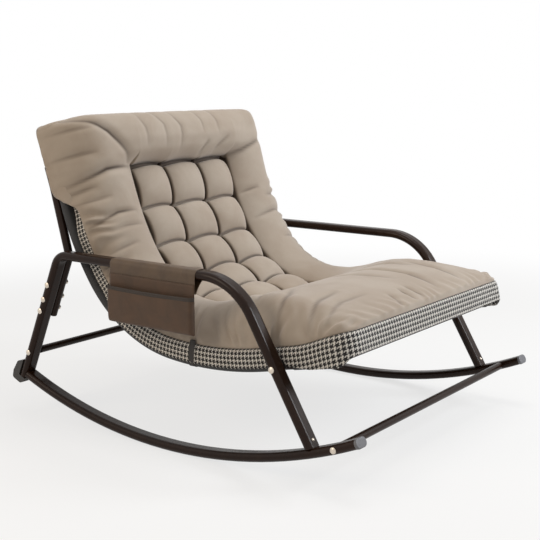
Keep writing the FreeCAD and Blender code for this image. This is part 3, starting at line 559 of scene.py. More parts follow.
def makePiece(name, points, faces, finish):
    mesh = bpy.data.meshes.new(name)
    mesh.from_pydata([tuple(p) for p in points], [], faces)
    mesh.update()
    mesh.materials.append(finishes[finish])
    return placeObject(name, mesh)


def applyModifier(piece, kind, **settings):
    modifier = piece.modifiers.new(kind.lower(), kind)
    for label, value in settings.items():
        setattr(modifier, label, value)
    bpy.ops.object.select_all(action="DESELECT")
    piece.select_set(True)
    bpy.context.view_layer.objects.active = piece
    bpy.ops.object.modifier_apply(modifier=modifier.name)
    piece.select_set(False)


def addThickness(piece, thickness):
    applyModifier(piece, "SOLIDIFY", thickness=thickness, offset=0.0)


def addSubdivision(piece):
    applyModifier(piece, "SUBSURF", levels=1, render_levels=1)


def tidyMesh(piece, distance):
    work = bmesh.new()
    work.from_mesh(piece.data)
    bmesh.ops.remove_doubles(work, verts=work.verts, dist=distance)
    bmesh.ops.recalc_face_normals(work, faces=work.faces)
    work.to_mesh(piece.data)
    work.free()
    piece.data.update()


def shadeSoft(piece):
    for face in piece.data.polygons:
        face.use_smooth = True


def addMap(piece, values):
    # values holds one (u, v) in metres for each vertex
    layer = piece.data.uv_layers.new(name="clothMap")
    index = np.empty(len(piece.data.loops), dtype=np.int64)
    piece.data.loops.foreach_get("vertex_index", index)
    layer.data.foreach_set("uv", np.asarray(values, dtype=np.float32)[index].ravel())


def readVectors(mesh, what="co"):
    values = np.empty(len(mesh.vertices) * 3)
    mesh.vertices.foreach_get(what, values)
    return values.reshape(-1, 3)


def writePoints(piece, points):
    piece.data.vertices.foreach_set("co", np.asarray(points, dtype=np.float32).ravel())
    piece.data.update()


def addNumbers(piece, name, values):
    numbers = piece.data.attributes.new(name, "FLOAT", "POINT")
    numbers.data.foreach_set("value", np.asarray(values, dtype=np.float32))


def inflate(piece, pinned, settings):
    # how far cloth under pressure moves with the sewn points held
    group = piece.vertex_groups.new(name="sewn")
    for weight in np.unique(pinned[pinned > 0]):
        group.add(np.nonzero(pinned == weight)[0].tolist(), float(weight), "REPLACE")
    start = readVectors(piece.data)
    cloth = piece.modifiers.new("cloth", "CLOTH")
    for label, value in settings["simulation"].items():
        setattr(cloth.settings, label, value)
    cloth.settings.vertex_group_mass = "sewn"
    cloth.settings.effector_weights.gravity = 0
    cloth.collision_settings.use_collision = False
    cloth.point_cache.frame_start = 1
    cloth.point_cache.frame_end = settings["frames"]
    for step in range(1, settings["frames"] + 1):
        bpy.context.scene.frame_set(step)
    view = bpy.context.evaluated_depsgraph_get()
    away = readVectors(piece.evaluated_get(view).data) - start
    piece.modifiers.remove(cloth)
    piece.vertex_groups.clear()
    bpy.context.scene.frame_set(1)
    length = np.linalg.norm(away, axis=1, keepdims=True)
    print("   moved", round(float(length.mean()), 4), "at most", round(float(length.max()), 4))
    return away * np.minimum(1, settings["cap"] / np.maximum(length, 1e-9))


def lineGap(run, x, line):
    # distance to a polyline of (run, x) points, and the share along it
    best = np.full(len(run), 1e9)
    share = np.zeros(len(run))
    gone = travelled(line)
    for (runA, xA), (runB, xB), done, length in zip(line, line[1:], gone, np.diff(gone)):
        along = ((run - runA) * (runB - runA) + (x - xA) * (xB - xA)) / length**2
        along = np.clip(along, 0, 1)
        gap = np.hypot(run - runA - along * (runB - runA), x - xA - along * (xB - xA))
        share = np.where(gap < best, (done + along * length) / gone[-1], share)
        best = np.minimum(gap, best)
    return best, share


# cushion, upper half: taupe cloth over a head roll, tufted chambers, side bolsters and a front roll

upperSettings = {
    "front": -0.0150,
    "back": 1.4180,
    "halfWidth": 0.4400,
    "floor": 0.0480,  # lift of the side seam above the seat line
    "crownFloor": 0.0655,  # lift that the heights below are measured from
    "frontFloorRise": 0.0215,  # the lower half is taller along the front
    "riseZone": (0.15, -0.01),
    "frontCorner": 0.057,
    "backCorner": 0.028,
    "hoodStart": 1.135,  # from here up the cloth covers the rail's outer side
    "hoodFull": 1.215,
    "hoodSide": 0.0190,
    "hoodDrop": 0.0830,
    "railClear": 0.4522,
    "innerDrop": 0.0380,
    "innerReach": 0.0100,
    "innerSeam": 0.228,
    "chamberSeam": 0.08,
    "rows": (0.556, 0.694, 0.832, 0.970, 1.108, 1.246),
    "tuftHeight": 0.004,
    "columnSeam": 0.012,
    "rowSeam": 0.022,
    "chamberCrown": 0.056,
    "rowArch": 0.0055,
    "archZones": ((0.44, 0.55), (1.32, 1.25)),
    # powers of the pillow shape: the lower, the fuller
    "acrossPower": 0.30,
    "alongPower": 0.34,
    "rowSeamPower": 0.9,
    "bolsterPowers": (0.6, 0.52),  # inner side, outer side
    "edgeHeight": 0.003,
    "spacing": 0.0115,
    "endDepths": (0.05, 0.06, 0.06),  # the grid is closer in these at the front, the back and the sides
    "endRounds": 8,
    "besideSeams": (-0.0085, -0.0050, -0.0022, 0.0, 0.0022, 0.0050, 0.0085),
    "sewnReach": 0.003,
    "sideLimit": 0.4500,  # clear of the arms
    "hoodRoom": 0.0150,
    "lowRoom": 0.0070,  # more room below the arms
    "armUnderside": 0.490,
    # run and height above the crown floor
    "frontMiddle": (
        (-0.015, 0.016), (-0.004, 0.032), (0.02, 0.046), (0.05, 0.060), (0.1, 0.077),
        (0.17, 0.095), (0.24, 0.107), (0.3, 0.108), (0.36, 0.099), (0.43, 0.081),
        (0.5, 0.056), (0.556, 0.030), (0.7, 0.03),
    ),
    "side": (
        (-0.015, 0.016), (-0.004, 0.030), (0.02, 0.042), (0.05, 0.056), (0.1, 0.073),
        (0.17, 0.094), (0.24, 0.109), (0.3, 0.113), (0.36, 0.108), (0.43, 0.094),
        (0.5, 0.081), (0.58, 0.074), (0.8, 0.069), (1.0, 0.071), (1.2, 0.076),
        (1.3, 0.082), (1.36, 0.084), (1.39, 0.078), (1.406, 0.063), (1.415, 0.036), (1.418, 0.0),
    ),
    "headRoll": (
        (1.246, 0.008), (1.258, 0.050), (1.28, 0.082), (1.32, 0.097), (1.36, 0.094),
        (1.39, 0.082), (1.406, 0.064), (1.415, 0.037), (1.418, 0.0),
    ),
    "valley": ((0.556, 0.030), (0.616, 0.016), (1.246, 0.014)),  # between chambers and bolsters
    # metres of run that the lines above are smoothed over
    "frontSoften": 0.02,
    "sideSoften": 0.012,
    "headSoften": 0.004,
    # runs between which one form fades into the next
    "rowsStart": (0.506, 0.560),
    "frontRollFade": (0.62, 0.42),
    "headRollFade": (1.250, 1.275),
    "cloth": {
        "simulation": {
            "quality": 5, "mass": 0.25, "tension_stiffness": 12.0, "compression_stiffness": 12.0,
            "shear_stiffness": 4.0, "bending_stiffness": 0.3, "use_pressure": True,
            "uniform_pressure_force": 4.0, "shrink_min": -0.055, "shrink_max": -0.055,
        },
        "frames": 20, "cap": 0.022, "swellReach": 5, "keepSwell": 0.25,
        "sideFade": 0.05, "endFade": 0.04,  # metres in from the border where the cloth starts to settle
    },
    # crease lines as (run, x) marks, then depth and width
    "creases": (
        (((1.375, -0.45), (1.37, -0.38)), 0.006, 0.008),
        (((1.30, -0.455), (1.295, -0.38)), 0.007, 0.009),
        (((1.215, -0.45), (1.24, -0.37), (1.246, -0.25)), 0.016, 0.010),
        (((1.19, -0.455), (1.20, -0.40)), 0.007, 0.010),
        (((1.155, -0.45), (1.162, -0.37)), 0.006, 0.008),
        (((1.075, -0.44), (1.10, -0.37), (1.10, -0.29)), 0.011, 0.008),
        (((1.045, -0.38), (1.05, -0.28)), 0.006, 0.007),
        (((0.97, -0.43), (0.985, -0.33)), 0.005, 0.009),
        (((0.86, -0.43), (0.88, -0.34)), 0.005, 0.010),
        (
            ((1.410, -0.425), (1.39, -0.385), (1.35, -0.332), (1.30, -0.290), (1.25, -0.252)),
            0.014, 0.011,
        ),
        (((1.248, 0.20), (1.262, 0.28), (1.295, 0.38), (1.305, 0.43)), 0.009, 0.010),
        (((1.115, 0.24), (1.125, 0.31)), 0.007, 0.008),
        (((1.085, 0.33), (1.09, 0.43)), 0.007, 0.009),
        (((1.005, 0.26), (1.02, 0.36), (1.01, 0.43)), 0.008, 0.009),
        (((0.885, 0.33), (0.895, 0.43)), 0.006, 0.010),
        (((0.36, 0.09), (0.25, 0.135), (0.12, 0.13), (0.0, 0.075)), 0.012, 0.010),
        (((0.21, 0.29), (0.10, 0.27), (0.0, 0.225)), 0.009, 0.010),
        (((0.37, 0.37), (0.26, 0.40), (0.17, 0.40)), 0.008, 0.010),
        (((0.40, 0.22), (0.28, 0.26), (0.16, 0.24)), 0.007, 0.010),
        (((0.36, -0.03), (0.24, 0.02), (0.10, 0.03)), 0.006, 0.010),
        (((0.050, -0.06), (-0.012, -0.075)), 0.009, 0.007),
        (((0.055, -0.02), (-0.012, -0.025)), 0.009, 0.007),
        (((0.04, -0.13), (-0.012, -0.15)), 0.007, 0.007),
        (((0.30, -0.37), (0.39, -0.20)), 0.010, 0.010),
        (((0.20, -0.43), (0.22, -0.33), (0.27, -0.24)), 0.008, 0.011),
        (((0.10, -0.43), (0.13, -0.32), (0.14, -0.22)), 0.008, 0.011),
        (((0.05, -0.42), (0.08, -0.30), (0.075, -0.18)), 0.006, 0.010),
        (((1.40, -0.20), (1.35, -0.185), (1.29, -0.19)), 0.005, 0.009),
        (((1.41, -0.13), (1.36, -0.10), (1.28, -0.105)), 0.005, 0.009),
        (((1.405, -0.05), (1.35, -0.025), (1.27, -0.04)), 0.006, 0.009),
        (((1.41, 0.06), (1.37, 0.08), (1.32, 0.075)), 0.004, 0.009),
        (((1.41, 0.14), (1.37, 0.155), (1.31, 0.15)), 0.004, 0.009),
        (((1.30, 0.10), (1.262, 0.06)), 0.006, 0.009),
        (((1.31, 0.20), (1.27, 0.13)), 0.006, 0.009),
    ),
    # shares of a crease's depth, width and painted-shade width, and the depth at which its painted shade
    # is full
    "creaseShares": (0.85, 1.35, 0.55, 0.013),
    # depth, width and painted shade of the sewn lines, and how much wider than a line its painted shade
    # is
    "columnGroove": (0.009, 0.0040, 0.95),
    "rowGrooves": ((0.0014, 0.0040, 0.35), *[(0.0035, 0.0040, 0.35)] * 4, (0.0077, 0.0044, 0.95)),
    "columnShade": 1.1,
    "rowShade": 1.2,
    # length, height and reach of the gathers
    "sideGathers": (0.050, 0.0060, 0.085),
    "frontGathers": (0.048, 0.0024, 0.05),
    "gatherWander": (1.1, 0.09),  # share of a gather's length, size
    "sideZone": (0.09, 0.02),
    "frontZone": 0.06,
    "hoodCalm": 0.8,  # share of the side gathers that the hood takes away
}

upperSeams = [
    side * upperSettings[name]
    for side, name in ((-1, "innerSeam"), (-1, "chamberSeam"), (1, "chamberSeam"), (1, "innerSeam"))
]


def pillow(share, power):
    return np.maximum(np.sin(math.pi * np.clip(share, 0, 1)), 0) ** power


def hoodAt(run):
    return smoothStep(upperSettings["hoodStart"], upperSettings["hoodFull"], run)


def upperHalfWidth(run):
    look = upperSettings
    # how much the half width shrinks towards the rounded corners
    trim = 0
    for gap, radius in (
        (run - look["front"], look["frontCorner"]), (look["back"] - run, look["backCorner"])
    ):
        gap = radius - np.clip(gap, 0, radius)
        trim = trim + radius - np.sqrt(np.maximum(radius**2 - gap**2, 0))
    return look["halfWidth"] + look["hoodSide"] * hoodAt(run) - trim


def sideSeamLift(run):
    look = upperSettings
    rise = look["frontFloorRise"] * smoothStep(*look["riseZone"], run)
    return look["floor"] + rise - look["hoodDrop"] * hoodAt(run)


def chamberColumns(x):
    # share across the chamber that a place lies in
    seam, inner = upperSettings["chamberSeam"], upperSettings["innerSeam"]
    away = np.abs(x)
    return np.where(away < seam, (x + seam) / (2 * seam), (away - seam) / (inner - seam))


def rowArchAt(base, x):
    # the sewn rows arch up between the tufts
    look = upperSettings
    inside = np.abs(x) < look["innerSeam"]
    first, last = look["archZones"]
    zone = smoothStep(*first, base) * smoothStep(*last, base)
    return look["rowArch"] * pillow(chamberColumns(x), 1.0) * inside * zone


def chamberHeights(base, x):
    look = upperSettings
    rows, tuft = look["rows"], look["tuftHeight"]
    column = chamberColumns(x)
    across = pillow(column, look["acrossPower"])
    pitch = (rows[-1] - rows[0]) / (len(rows) - 1)
    place = (base - rows[0]) / pitch
    rowShare = np.where((place > 0) & (place < len(rows) - 1), place % 1, 0.0)
    along = pillow(rowShare, look["alongPower"])
    return (
        tuft
        + (look["columnSeam"] - tuft) * pillow(rowShare, 1.0) * (1 - across)
        + (look["rowSeam"] - tuft) * pillow(column, look["rowSeamPower"]) * (1 - along)
        + (look["chamberCrown"] - tuft) * across * along
    )


def upperLifts(base, x):
    # lift of the upper cloth above the seat line; base is the run before the rows arch
    look = upperSettings
    away = np.abs(x)
    inner, rows = look["innerSeam"], look["rows"]
    chambers = chamberHeights(base, x)
    front = curveThrough(look["frontMiddle"], base, look["frontSoften"])
    head = curveThrough(look["headRoll"], base, look["headSoften"])
    blend = smoothStep(*look["rowsStart"], base)
    started = front * (1 - blend) + np.minimum(chambers, front) * blend
    middle = np.where(base < look["rowsStart"][1], started, chambers)
    middle = np.where(base > rows[-1], head, middle)
    # bolsters down the sides, which fade into the rolls
    side = np.clip((away - inner) / (upperHalfWidth(base) - inner), 0, 1)
    crown = curveThrough(look["side"], base, look["sideSoften"])
    valley = np.interp(base, *zip(*look["valley"]))
    innerPower, outerPower = look["bolsterPowers"]
    inward = valley + (crown - valley) * np.where(side > 0.5, 1.0, pillow(side, innerPower))
    toFront = smoothStep(*look["frontRollFade"], base)
    toHead = smoothStep(*look["headRollFade"], base)
    share = np.clip(side / 0.5, 0, 1)
    inward = inward * (1 - toFront) + (front * (1 - share) + crown * share) * toFront
    inward = inward * (1 - toHead) + (head * (1 - share) + crown * share) * toHead
    edge = sideSeamLift(base) + look["edgeHeight"] - look["crownFloor"]
    outer = edge + (np.maximum(crown, edge) - edge) * pillow(side, outerPower)
    bolster = np.where(side > 0.5, outer, inward)
    return look["crownFloor"] + np.maximum(np.where(away < inner, middle, bolster), edge)


def crowded(start, end, depthStart, depthEnd, rounds, spacing):
    # places from start to end, close together near both ends
    turn = np.linspace(0, math.pi / 2, rounds + 1)
    first = start + depthStart * (1 - np.cos(turn))
    last = end - depthEnd * (1 - np.cos(turn[::-1]))
    count = max(int(round((last[0] - first[-1]) / spacing)), 1)
    between = np.linspace(first[-1], last[0], count + 1)[1:-1]
    return np.concatenate((first, between, last))


def besideSeams(places, seams, offsets):
    # more places close beside each seam
    extra = np.array([seam + offset for seam in seams for offset in offsets])
    reach = max(offsets) + abs(offsets[1] - offsets[0]) * 0.6
    kept = [p for p in places if min(abs(p - seam) for seam in seams) > reach]
    return np.sort(np.concatenate((kept, extra)))


def upperSurfaces():
    # a grid of base runs and x, with the points of the cloth and of its inner side
    look = upperSettings
    half, inner = look["halfWidth"], look["innerSeam"]
    frontDepth, backDepth, sideDepth = look["endDepths"]
    density = look["endRounds"], look["spacing"]
    runs = crowded(look["front"], look["back"], frontDepth, backDepth, *density)
    runs = besideSeams(runs, look["rows"], look["besideSeams"])
    acrosses = crowded(-half, half, sideDepth, sideDepth, *density)
    shares = besideSeams(acrosses, upperSeams, look["besideSeams"]) / half
    base, share = np.meshgrid(runs, shares, indexing="ij")
    wide = upperHalfWidth(base)
    # the seams keep their place where the hood widens the cloth
    x = share * half
    outside = np.clip((np.abs(x) - inner) / (half - inner), 0, 1)
    x = np.sign(x) * (np.abs(x) + (wide - half) * np.where(wide > half, outside, np.abs(share)))
    top = onSeat(base + rowArchAt(base, x), x, upperLifts(base, x))
    # under the hood the inner side starts beside the rail and runs in above it
    inset = half * (1 - np.abs(share))
    hood = hoodAt(base)
    drop = look["innerDrop"] * hood * np.exp(-inset / look["innerReach"])
    underLift = np.maximum(sideSeamLift(base), look["floor"]) - drop
    underX = np.sign(x) * np.minimum(np.abs(x) * 0.997, look["railClear"] - inset * hood)
    under = onSeat(np.clip(base, look["front"] + 0.001, look["back"] - 0.003), underX, underLift)
    return base, x, top, under


def blurred(field, reach):
    # running mean over a grid of vectors
    for axis in (0, 1):
        padding = [(0, 0)] * field.ndim
        padding[axis] = (reach, reach)
        padded = np.pad(field, padding, mode="edge")
        total = np.cumsum(padded, axis=axis)
        count = total.shape[axis] - 2 * reach
        upTo = np.take(total, range(2 * reach, 2 * reach + count), axis=axis)
        before = np.take(total, range(count), axis=axis)
        first = np.take(padded, range(count), axis=axis)
        field = (upTo - before + first) / (2 * reach + 1)
    return field


def sewnPoints(base, x):
    # 1 on the tufts and the columns' seams, and nearly 1 on the rows' seams
    look = upperSettings
    rows, reach = look["rows"], look["sewnReach"]
    tufted = (base > rows[0] - 0.01) & (base < rows[-1] + 0.003)
    seamGap = np.min([np.abs(x - seam) for seam in upperSeams], axis=0)
    rowGap = np.min([np.abs(base - row) for row in rows], axis=0)
    pinned = np.zeros(base.shape)
    pinned[tufted & (seamGap < reach)] = 1
    pinned[tufted & (rowGap < reach) & (np.abs(x) < look["innerSeam"])] = 0.9
    return pinned


def settleUpper(piece, base, x, pinned):
    # all the folds of the simulated cloth and a share of its swell, with nothing at the border
    look, cloth = upperSettings, upperSettings["cloth"]
    start = readVectors(piece.data)
    away = inflate(piece, pinned, cloth)[: base.size].reshape(*base.shape, 3)
    swell = blurred(away, cloth["swellReach"])
    # 0 on the sewn points and 1 two cells away from them
    held = (pinned[: base.size].reshape(base.shape) > 0.5).astype(float)
    near = blurred(held[..., None], 1)[..., 0]
    settled = np.clip(1 - held, 0, 1) * np.clip(1 - 0.6 * near, 0, 1)
    settled = settled * smoothStep(0, cloth["sideFade"], upperHalfWidth(base) - np.abs(x))
    for gap in (base - look["front"], look["back"] - base):
        settled = settled * smoothStep(0, cloth["endFade"], gap)
    moved = (away - (1 - cloth["keepSwell"]) * swell) * settled[..., None]
    start[: base.size] += moved.reshape(-1, 3)
    writePoints(piece, start)


def foldUpper(piece):
    # pushes creases, sewn lines and gathers into the cloth, and gives each point's painted shade,
    # darkest in the creases and sewn lines
    look = upperSettings
    rows = look["rows"]
    points = readVectors(piece.data)
    run, x, lift = offSeat(points)
    base = run - rowArchAt(run, x)
    low = lift - sideSeamLift(run)
    upward = np.empty(len(points), dtype=np.float32)
    piece.data.attributes["facing"].data.foreach_get("value", upward)
    piece.data.attributes.remove(piece.data.attributes["facing"])
    above = smoothStep(0.0, 0.025, low) * smoothStep(0.5, 1.0, upward)
    push = np.zeros(len(points))
    foldShade = np.zeros(len(points))

    # sinks a groove along a line and paints shade along it
    def drawIn(gap, depth, width, shadeWidth, shade, where):
        push[:] -= depth * bell(gap, width) * where
        foldShade[:] = np.maximum(foldShade, shade * bell(gap, shadeWidth) * where)

    deep, wide, shaded, fullDepth = look["creaseShares"]
    for line, depth, width in look["creases"]:
        gap, place = lineGap(run, x, line)
        taper = np.sin(math.pi * np.clip(0.06 + 0.94 * place, 0, 1)) ** 0.8
        shade = min(depth / fullDepth, 1.0)
        drawIn(gap, deep * depth, wide * width, shaded * width, shade, taper)
    tufted = smoothStep(rows[0] - 0.03, rows[0] + 0.02, base)
    tufted = tufted * smoothStep(rows[-1] + 0.012, rows[-1], base)
    depth, width, shade = look["columnGroove"]
    for seam in upperSeams:
        drawIn(x - seam, depth, width, look["columnShade"] * width, shade, tufted)
    inside = np.abs(x) < look["innerSeam"]
    for row, (depth, width, shade) in zip(rows, look["rowGrooves"]):
        drawIn(base - row, depth, width, look["rowShade"] * width, shade, inside)
    # gathers that run in from the side seams and from the front seam
    share, size = look["gatherWander"]
    wander = share * softNoise(np.stack((run, x, lift), axis=1), size, 3)
    length, height, reach = look["sideGathers"]
    gather = height * np.sin(2 * math.pi * (run / length + wander)) * bell(low, reach)
    nearSide = smoothStep(*look["sideZone"], upperHalfWidth(run) - np.abs(x))
    push += gather * nearSide * (1 - look["hoodCalm"] * hoodAt(run))
    length, height, reach = look["frontGathers"]
    gather = height * np.sin(2 * math.pi * (x / length + wander)) * bell(low, reach)
    push += gather * bell(run - look["front"], look["frontZone"])
    points = points + readVectors(piece.data, "normal") * (push * above)[:, None]
    # clear of the arms, with more room below them
    belowArm = smoothStep(0.03, 0.06, look["armUnderside"] - points[:, 2])
    limit = look["sideLimit"] + look["hoodRoom"] * hoodAt(run) + look["lowRoom"] * belowArm
    points[:, 0] = np.clip(points[:, 0], -limit, limit)
    writePoints(piece, points)
    return np.clip(foldShade * above, 0, 1)


def makeUpper():
    base, x, top, under = upperSurfaces()
    count = base.size
    grid = np.arange(count).reshape(base.shape)
    # once round the grid
    border = np.concatenate((grid[0], grid[1:, -1], grid[-1, -2::-1], grid[-2:0:-1, 0])).tolist()
    points = np.concatenate((top.reshape(-1, 3), under.reshape(-1, 3)))
    faces = gridFaces(*base.shape, flip=True) + gridFaces(*base.shape, start=count)
    faces += [(a, b, b + count, a + count) for a, b in zip(border, border[1:] + border[:1])]
    piece = makePiece("cushionUpper", points, faces, "taupe_cloth")
    tidyMesh(piece, 0.0)
    pinned = np.concatenate((sewnPoints(base, x).ravel(), np.ones(count)))
    pinned[border] = 1
    settleUpper(piece, base, x, pinned)
    addNumbers(piece, "facing", np.arange(len(points)) < count)
    addSubdivision(piece)
    # painted shade in the creases and sewn lines, which darkens the taupe colour there
    addNumbers(piece, "foldShade", foldUpper(piece))
    shadeSoft(piece)
    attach(piece, "chair")
    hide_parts("cushion_top")
    print("upper cushion made:", len(piece.data.polygons), "faces")


# cushion, lower half: houndstooth pad with a skirt over the rails and a deep front

lowerSettings = {
    "front": -0.0145,
    "back": 1.4100,
    "halfWidth": 0.4400,
    "frontCorner": 0.055,
    "backCorner": 0.030,
    "bottom": 0.0152,
    "frontBottom": 0.0105,
    "skirtBottom": -0.0030,
    "endSkirtBottom": -0.0130,  # over the rails' front ends
    "skirtOut": 0.0114,
    "skirtCloth": 0.0009,
    "frontOut": 0.0040,
    "hoodInset": 0.016,
    "skirtFade": (0.78, 0.90),
    "lipEnd": 0.0330,  # the deep front ends here, ahead of the front tube
    "rim": 0.030,  # from the outline to the flat of the top and the bottom
    "spineInset": 0.44,
    "sinkAtTop": 0.0004,  # below the upper half's side seam
    "endZone": (0.17, 0.10),  # runs where the skirt grows longer over the rails' ends
    "hoodZone": (1.06, 1.15),
    "flatShares": (0.0, 0.2, 0.4, 0.6, 0.8, 1.0),
    "topRings": (-0.012, -0.0015),  # metres out from the outline
    "skirtShares": (0.04, 0.16, 0.32, 0.50, 0.68, 0.84, 0.95),
    "skirtWaves": (0.0009, 0.06),  # height and size
    # share of the way out at the seam, and the share of the height where it is all the way out
    "skirtSwell": (0.35, 0.45),
    "lipRings": (-0.006, -0.018, -0.028),  # the underside of the deep front, metres out
    "spacing": 0.0075,
}


def outlineOf(look):
    # the pad's plan as (run, x) points, anticlockwise from the middle of the front
    half, front, back = look["halfWidth"], look["front"], look["back"]
    rf, rb = look["frontCorner"], look["backCorner"]
    spacing = look["spacing"]
    path = []

    def straightTo(a, b):
        count = max(int(math.dist(a, b) / spacing), 1)
        for k in range(count):
            path.append((a[0] + (b[0] - a[0]) * k / count, a[1] + (b[1] - a[1]) * k / count))

    def cornerAt(centre, radius, first, last):
        count = max(int(radius * math.pi / 2 / (spacing * 0.7)), 5)
        for k in range(count):
            turn = math.radians(first + (last - first) * k / count)
            path.append((centre[0] + radius * math.cos(turn), centre[1] + radius * math.sin(turn)))

    straightTo((front, 0), (front, half - rf))
    cornerAt((front + rf, half - rf), rf, 180, 90)
    straightTo((front + rf, half), (back - rb, half))
    cornerAt((back - rb, half - rb), rb, 90, 0)
    straightTo((back, half - rb), (back, -half + rb))
    cornerAt((back - rb, -half + rb), rb, 0, -90)
    straightTo((back - rb, -half), (front + rf, -half))
    cornerAt((front + rf, -half + rf), rf, -90, -180)
    straightTo((front, -half + rf), (front, 0))
    path = np.array(path)
    # narrower where the upper half's hood goes round it
    path[:, 1] *= 1 - look["hoodInset"] / half * smoothStep(*look["hoodZone"], path[:, 0])
    # the map's seam goes to the middle of the back
    return np.roll(path, len(path) // 2, axis=0)


def lowerRings(look, outline, outward):
    # plan and lift of each ring from the top's spine over the skirt to the bottom's spine
    run = outline[:, 0]
    level = 0 * run
    spineRun = np.clip(run, look["front"] + look["spineInset"], look["back"] - look["spineInset"])
    spine = np.stack((spineRun, level), axis=1)
    start = outline - outward * look["rim"]
    toFront = smoothStep(0.30, 0.95, np.abs(outward[:, 0])) * (run < 0.2)
    toBack = smoothStep(*look["skirtFade"], run)
    sides = np.abs(outward[:, 1]) * (1 - toBack)
    # the seam stays level where the upper half's hood drops
    high = sideSeamLift(np.minimum(run, 1.05)) - look["sinkAtTop"]
    nearEnd = smoothStep(*look["endZone"], run)
    skirt = look["skirtBottom"] + (look["endSkirtBottom"] - look["skirtBottom"]) * nearEnd
    skirt = skirt * (1 - toFront) + look["frontBottom"] * toFront
    skirt = skirt * (1 - toBack) + look["bottom"] * toBack
    out = look["skirtOut"] * sides + look["frontOut"] * (1 - sides) * (1 - toBack)
    waveHeight, waveSize = look["skirtWaves"]
    waves = waveHeight * softNoise(np.stack((run, outline[:, 1], level), axis=1), waveSize, 5)
    shares = look["flatShares"]
    rings = [(start + (spine - start) * share, high) for share in shares[::-1]]

    def addRing(offset, lift):
        rings.append((outline + outward * np.reshape(offset + level, (-1, 1)), lift + level))

    for offset in look["topRings"]:
        addRing(offset, high)
    seamRing = len(rings)
    least, full = look["skirtSwell"]
    for share in look["skirtShares"]:
        swell = out * (least + (1 - least) * math.sin(math.pi / 2 * min(share / full, 1)))
        addRing(swell + waves * math.sin(math.pi * share), high + (skirt - high) * share)
    hem = out - look["skirtCloth"]
    addRing(out - 0.0002, skirt)
    addRing(hem, skirt - 0.0004)
    addRing(hem - 0.0003, skirt + 0.002)
    inside = look["bottom"] - np.where(toBack > 0.5, 0, 0.0002)
    front = toFront > 0.5
    bottom = look["frontBottom"]
    outer, middle, inner = look["lipRings"]
    addRing(np.where(front, outer, hem - 0.0005), np.where(front, bottom - 0.0002, inside - 0.001))
    addRing(np.where(front, middle, -0.001), np.where(front, bottom, inside))
    lip = (run < look["lipEnd"]) & front & (np.abs(outward[:, 0]) > 0.6)
    addRing(inner, np.where(lip, bottom, inside))
    addRing(-look["rim"], inside)
    rings += [(start + (spine - start) * share, look["bottom"] + level) for share in shares]
    return rings, seamRing


def makeLower():
    look = lowerSettings
    outline = outlineOf(look)
    count = len(outline)
    way = unit(np.roll(outline, -1, axis=0) - np.roll(outline, 1, axis=0))
    outward = np.stack((-way[:, 1], way[:, 0]), axis=1)
    girth = travelled(np.concatenate((outline, outline[:1])))
    rings, seamRing = lowerRings(look, outline, outward)
    points = [onSeat(plan[:, 0], plan[:, 1], lift) for plan, lift in rings]
    steps = np.linalg.norm(np.diff(points, axis=0), axis=2)
    down = np.concatenate((np.zeros((1, count)), np.cumsum(steps, axis=0)))
    # the map's second value counts down from the seam, the same all round
    down = (down - down[seamRing]).ravel()
    faces = gridFaces(len(rings), count, wrapColumns=True)
    piece = makePiece("cushionLower", np.concatenate(points), faces, "houndstooth_cloth")
    layer = piece.data.uv_layers.new(name="clothMap")
    for face in piece.data.polygons:
        corners = [piece.data.loops[k].vertex_index for k in face.loop_indices]
        closing = any(v % count == count - 1 for v in corners)
        for k, vertex in zip(face.loop_indices, corners):
            across = vertex % count
            layer.data[k].uv = (girth[-1] if closing and across == 0 else girth[across], down[vertex])
    tidyMesh(piece, 0.00002)
    shadeSoft(piece)
    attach(piece, "chair")
    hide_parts("cushion_base")
    print("lower cushion made:", len(piece.data.polygons), "faces")


# sling: one cloth, stretched between the rails and wrapped round them

slingSettings = {
    "start": 0.0475,
    "end": 1.4012,
    "railX": 0.436,
    "cloth": 0.0012,
    "flatLift": 0.01375,  # from the rail's middle to the cloth's
    "wrap": 172.0,  # degrees round the rail from its top
    "wrapAtBrace": 128.0,
    "wrapAtBolt": 30.0,
    "braceReach": (-0.12, 0.03),
    "spacing": 0.008,
    "flat": (0.975, 1.354),
}


def runOf(y, z):
    # where a place in the side plane lies along the seat line
    return float(offSeat(np.array([(0, y, z)]))[0][0])


def makeSling():
    look = slingSettings
    low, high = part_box("seat_spacers")
    boltRun = runOf((low.y + high.y) / 2, (low.z + high.z) / 2)
    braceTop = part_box("left_back_brace")[1]
    braceRun = runOf(braceTop.y, braceTop.z)
    railX, radius = look["railX"], look["flatLift"]
    count = round((look["end"] - look["start"]) / look["spacing"]) + 1
    points, values = [], []
    for run in np.linspace(look["start"], look["end"], count):
        atBrace = look["braceReach"][0] < run - braceRun < look["braceReach"][1]
        wrap = look["wrapAtBrace"] if atBrace else look["wrap"]
        wrap += (look["wrapAtBolt"] - wrap) * float(smoothStep(0.030, 0.018, abs(run - boltRun)))
        turns = np.radians(90 - np.linspace(wrap, 0, 15))
        side = np.stack((railX + radius * np.cos(turns), radius * np.sin(turns)), axis=1)
        flat = np.linspace(railX, -railX, 41)[1:-1]
        centre = np.stack((flat, np.full(len(flat), radius)), axis=1)
        section = np.concatenate((side, centre, side[::-1] * (-1, 1)))
        points.append(onSeat(run, section[:, 0], section[:, 1]))
        values.append(np.stack((travelled(section), np.full(len(section), run)), axis=1))
    faces = gridFaces(count, len(section))
    piece = makePiece("slingCloth", np.concatenate(points), faces, "sling_cloth")
    addMap(piece, np.concatenate(values))
    addThickness(piece, look["cloth"])
    shadeSoft(piece)
    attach(piece, "chair")
    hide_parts("sling")
    print("sling made:", len(piece.data.polygons), "faces")


# ties: a tape from each side of the cushion down round the rail

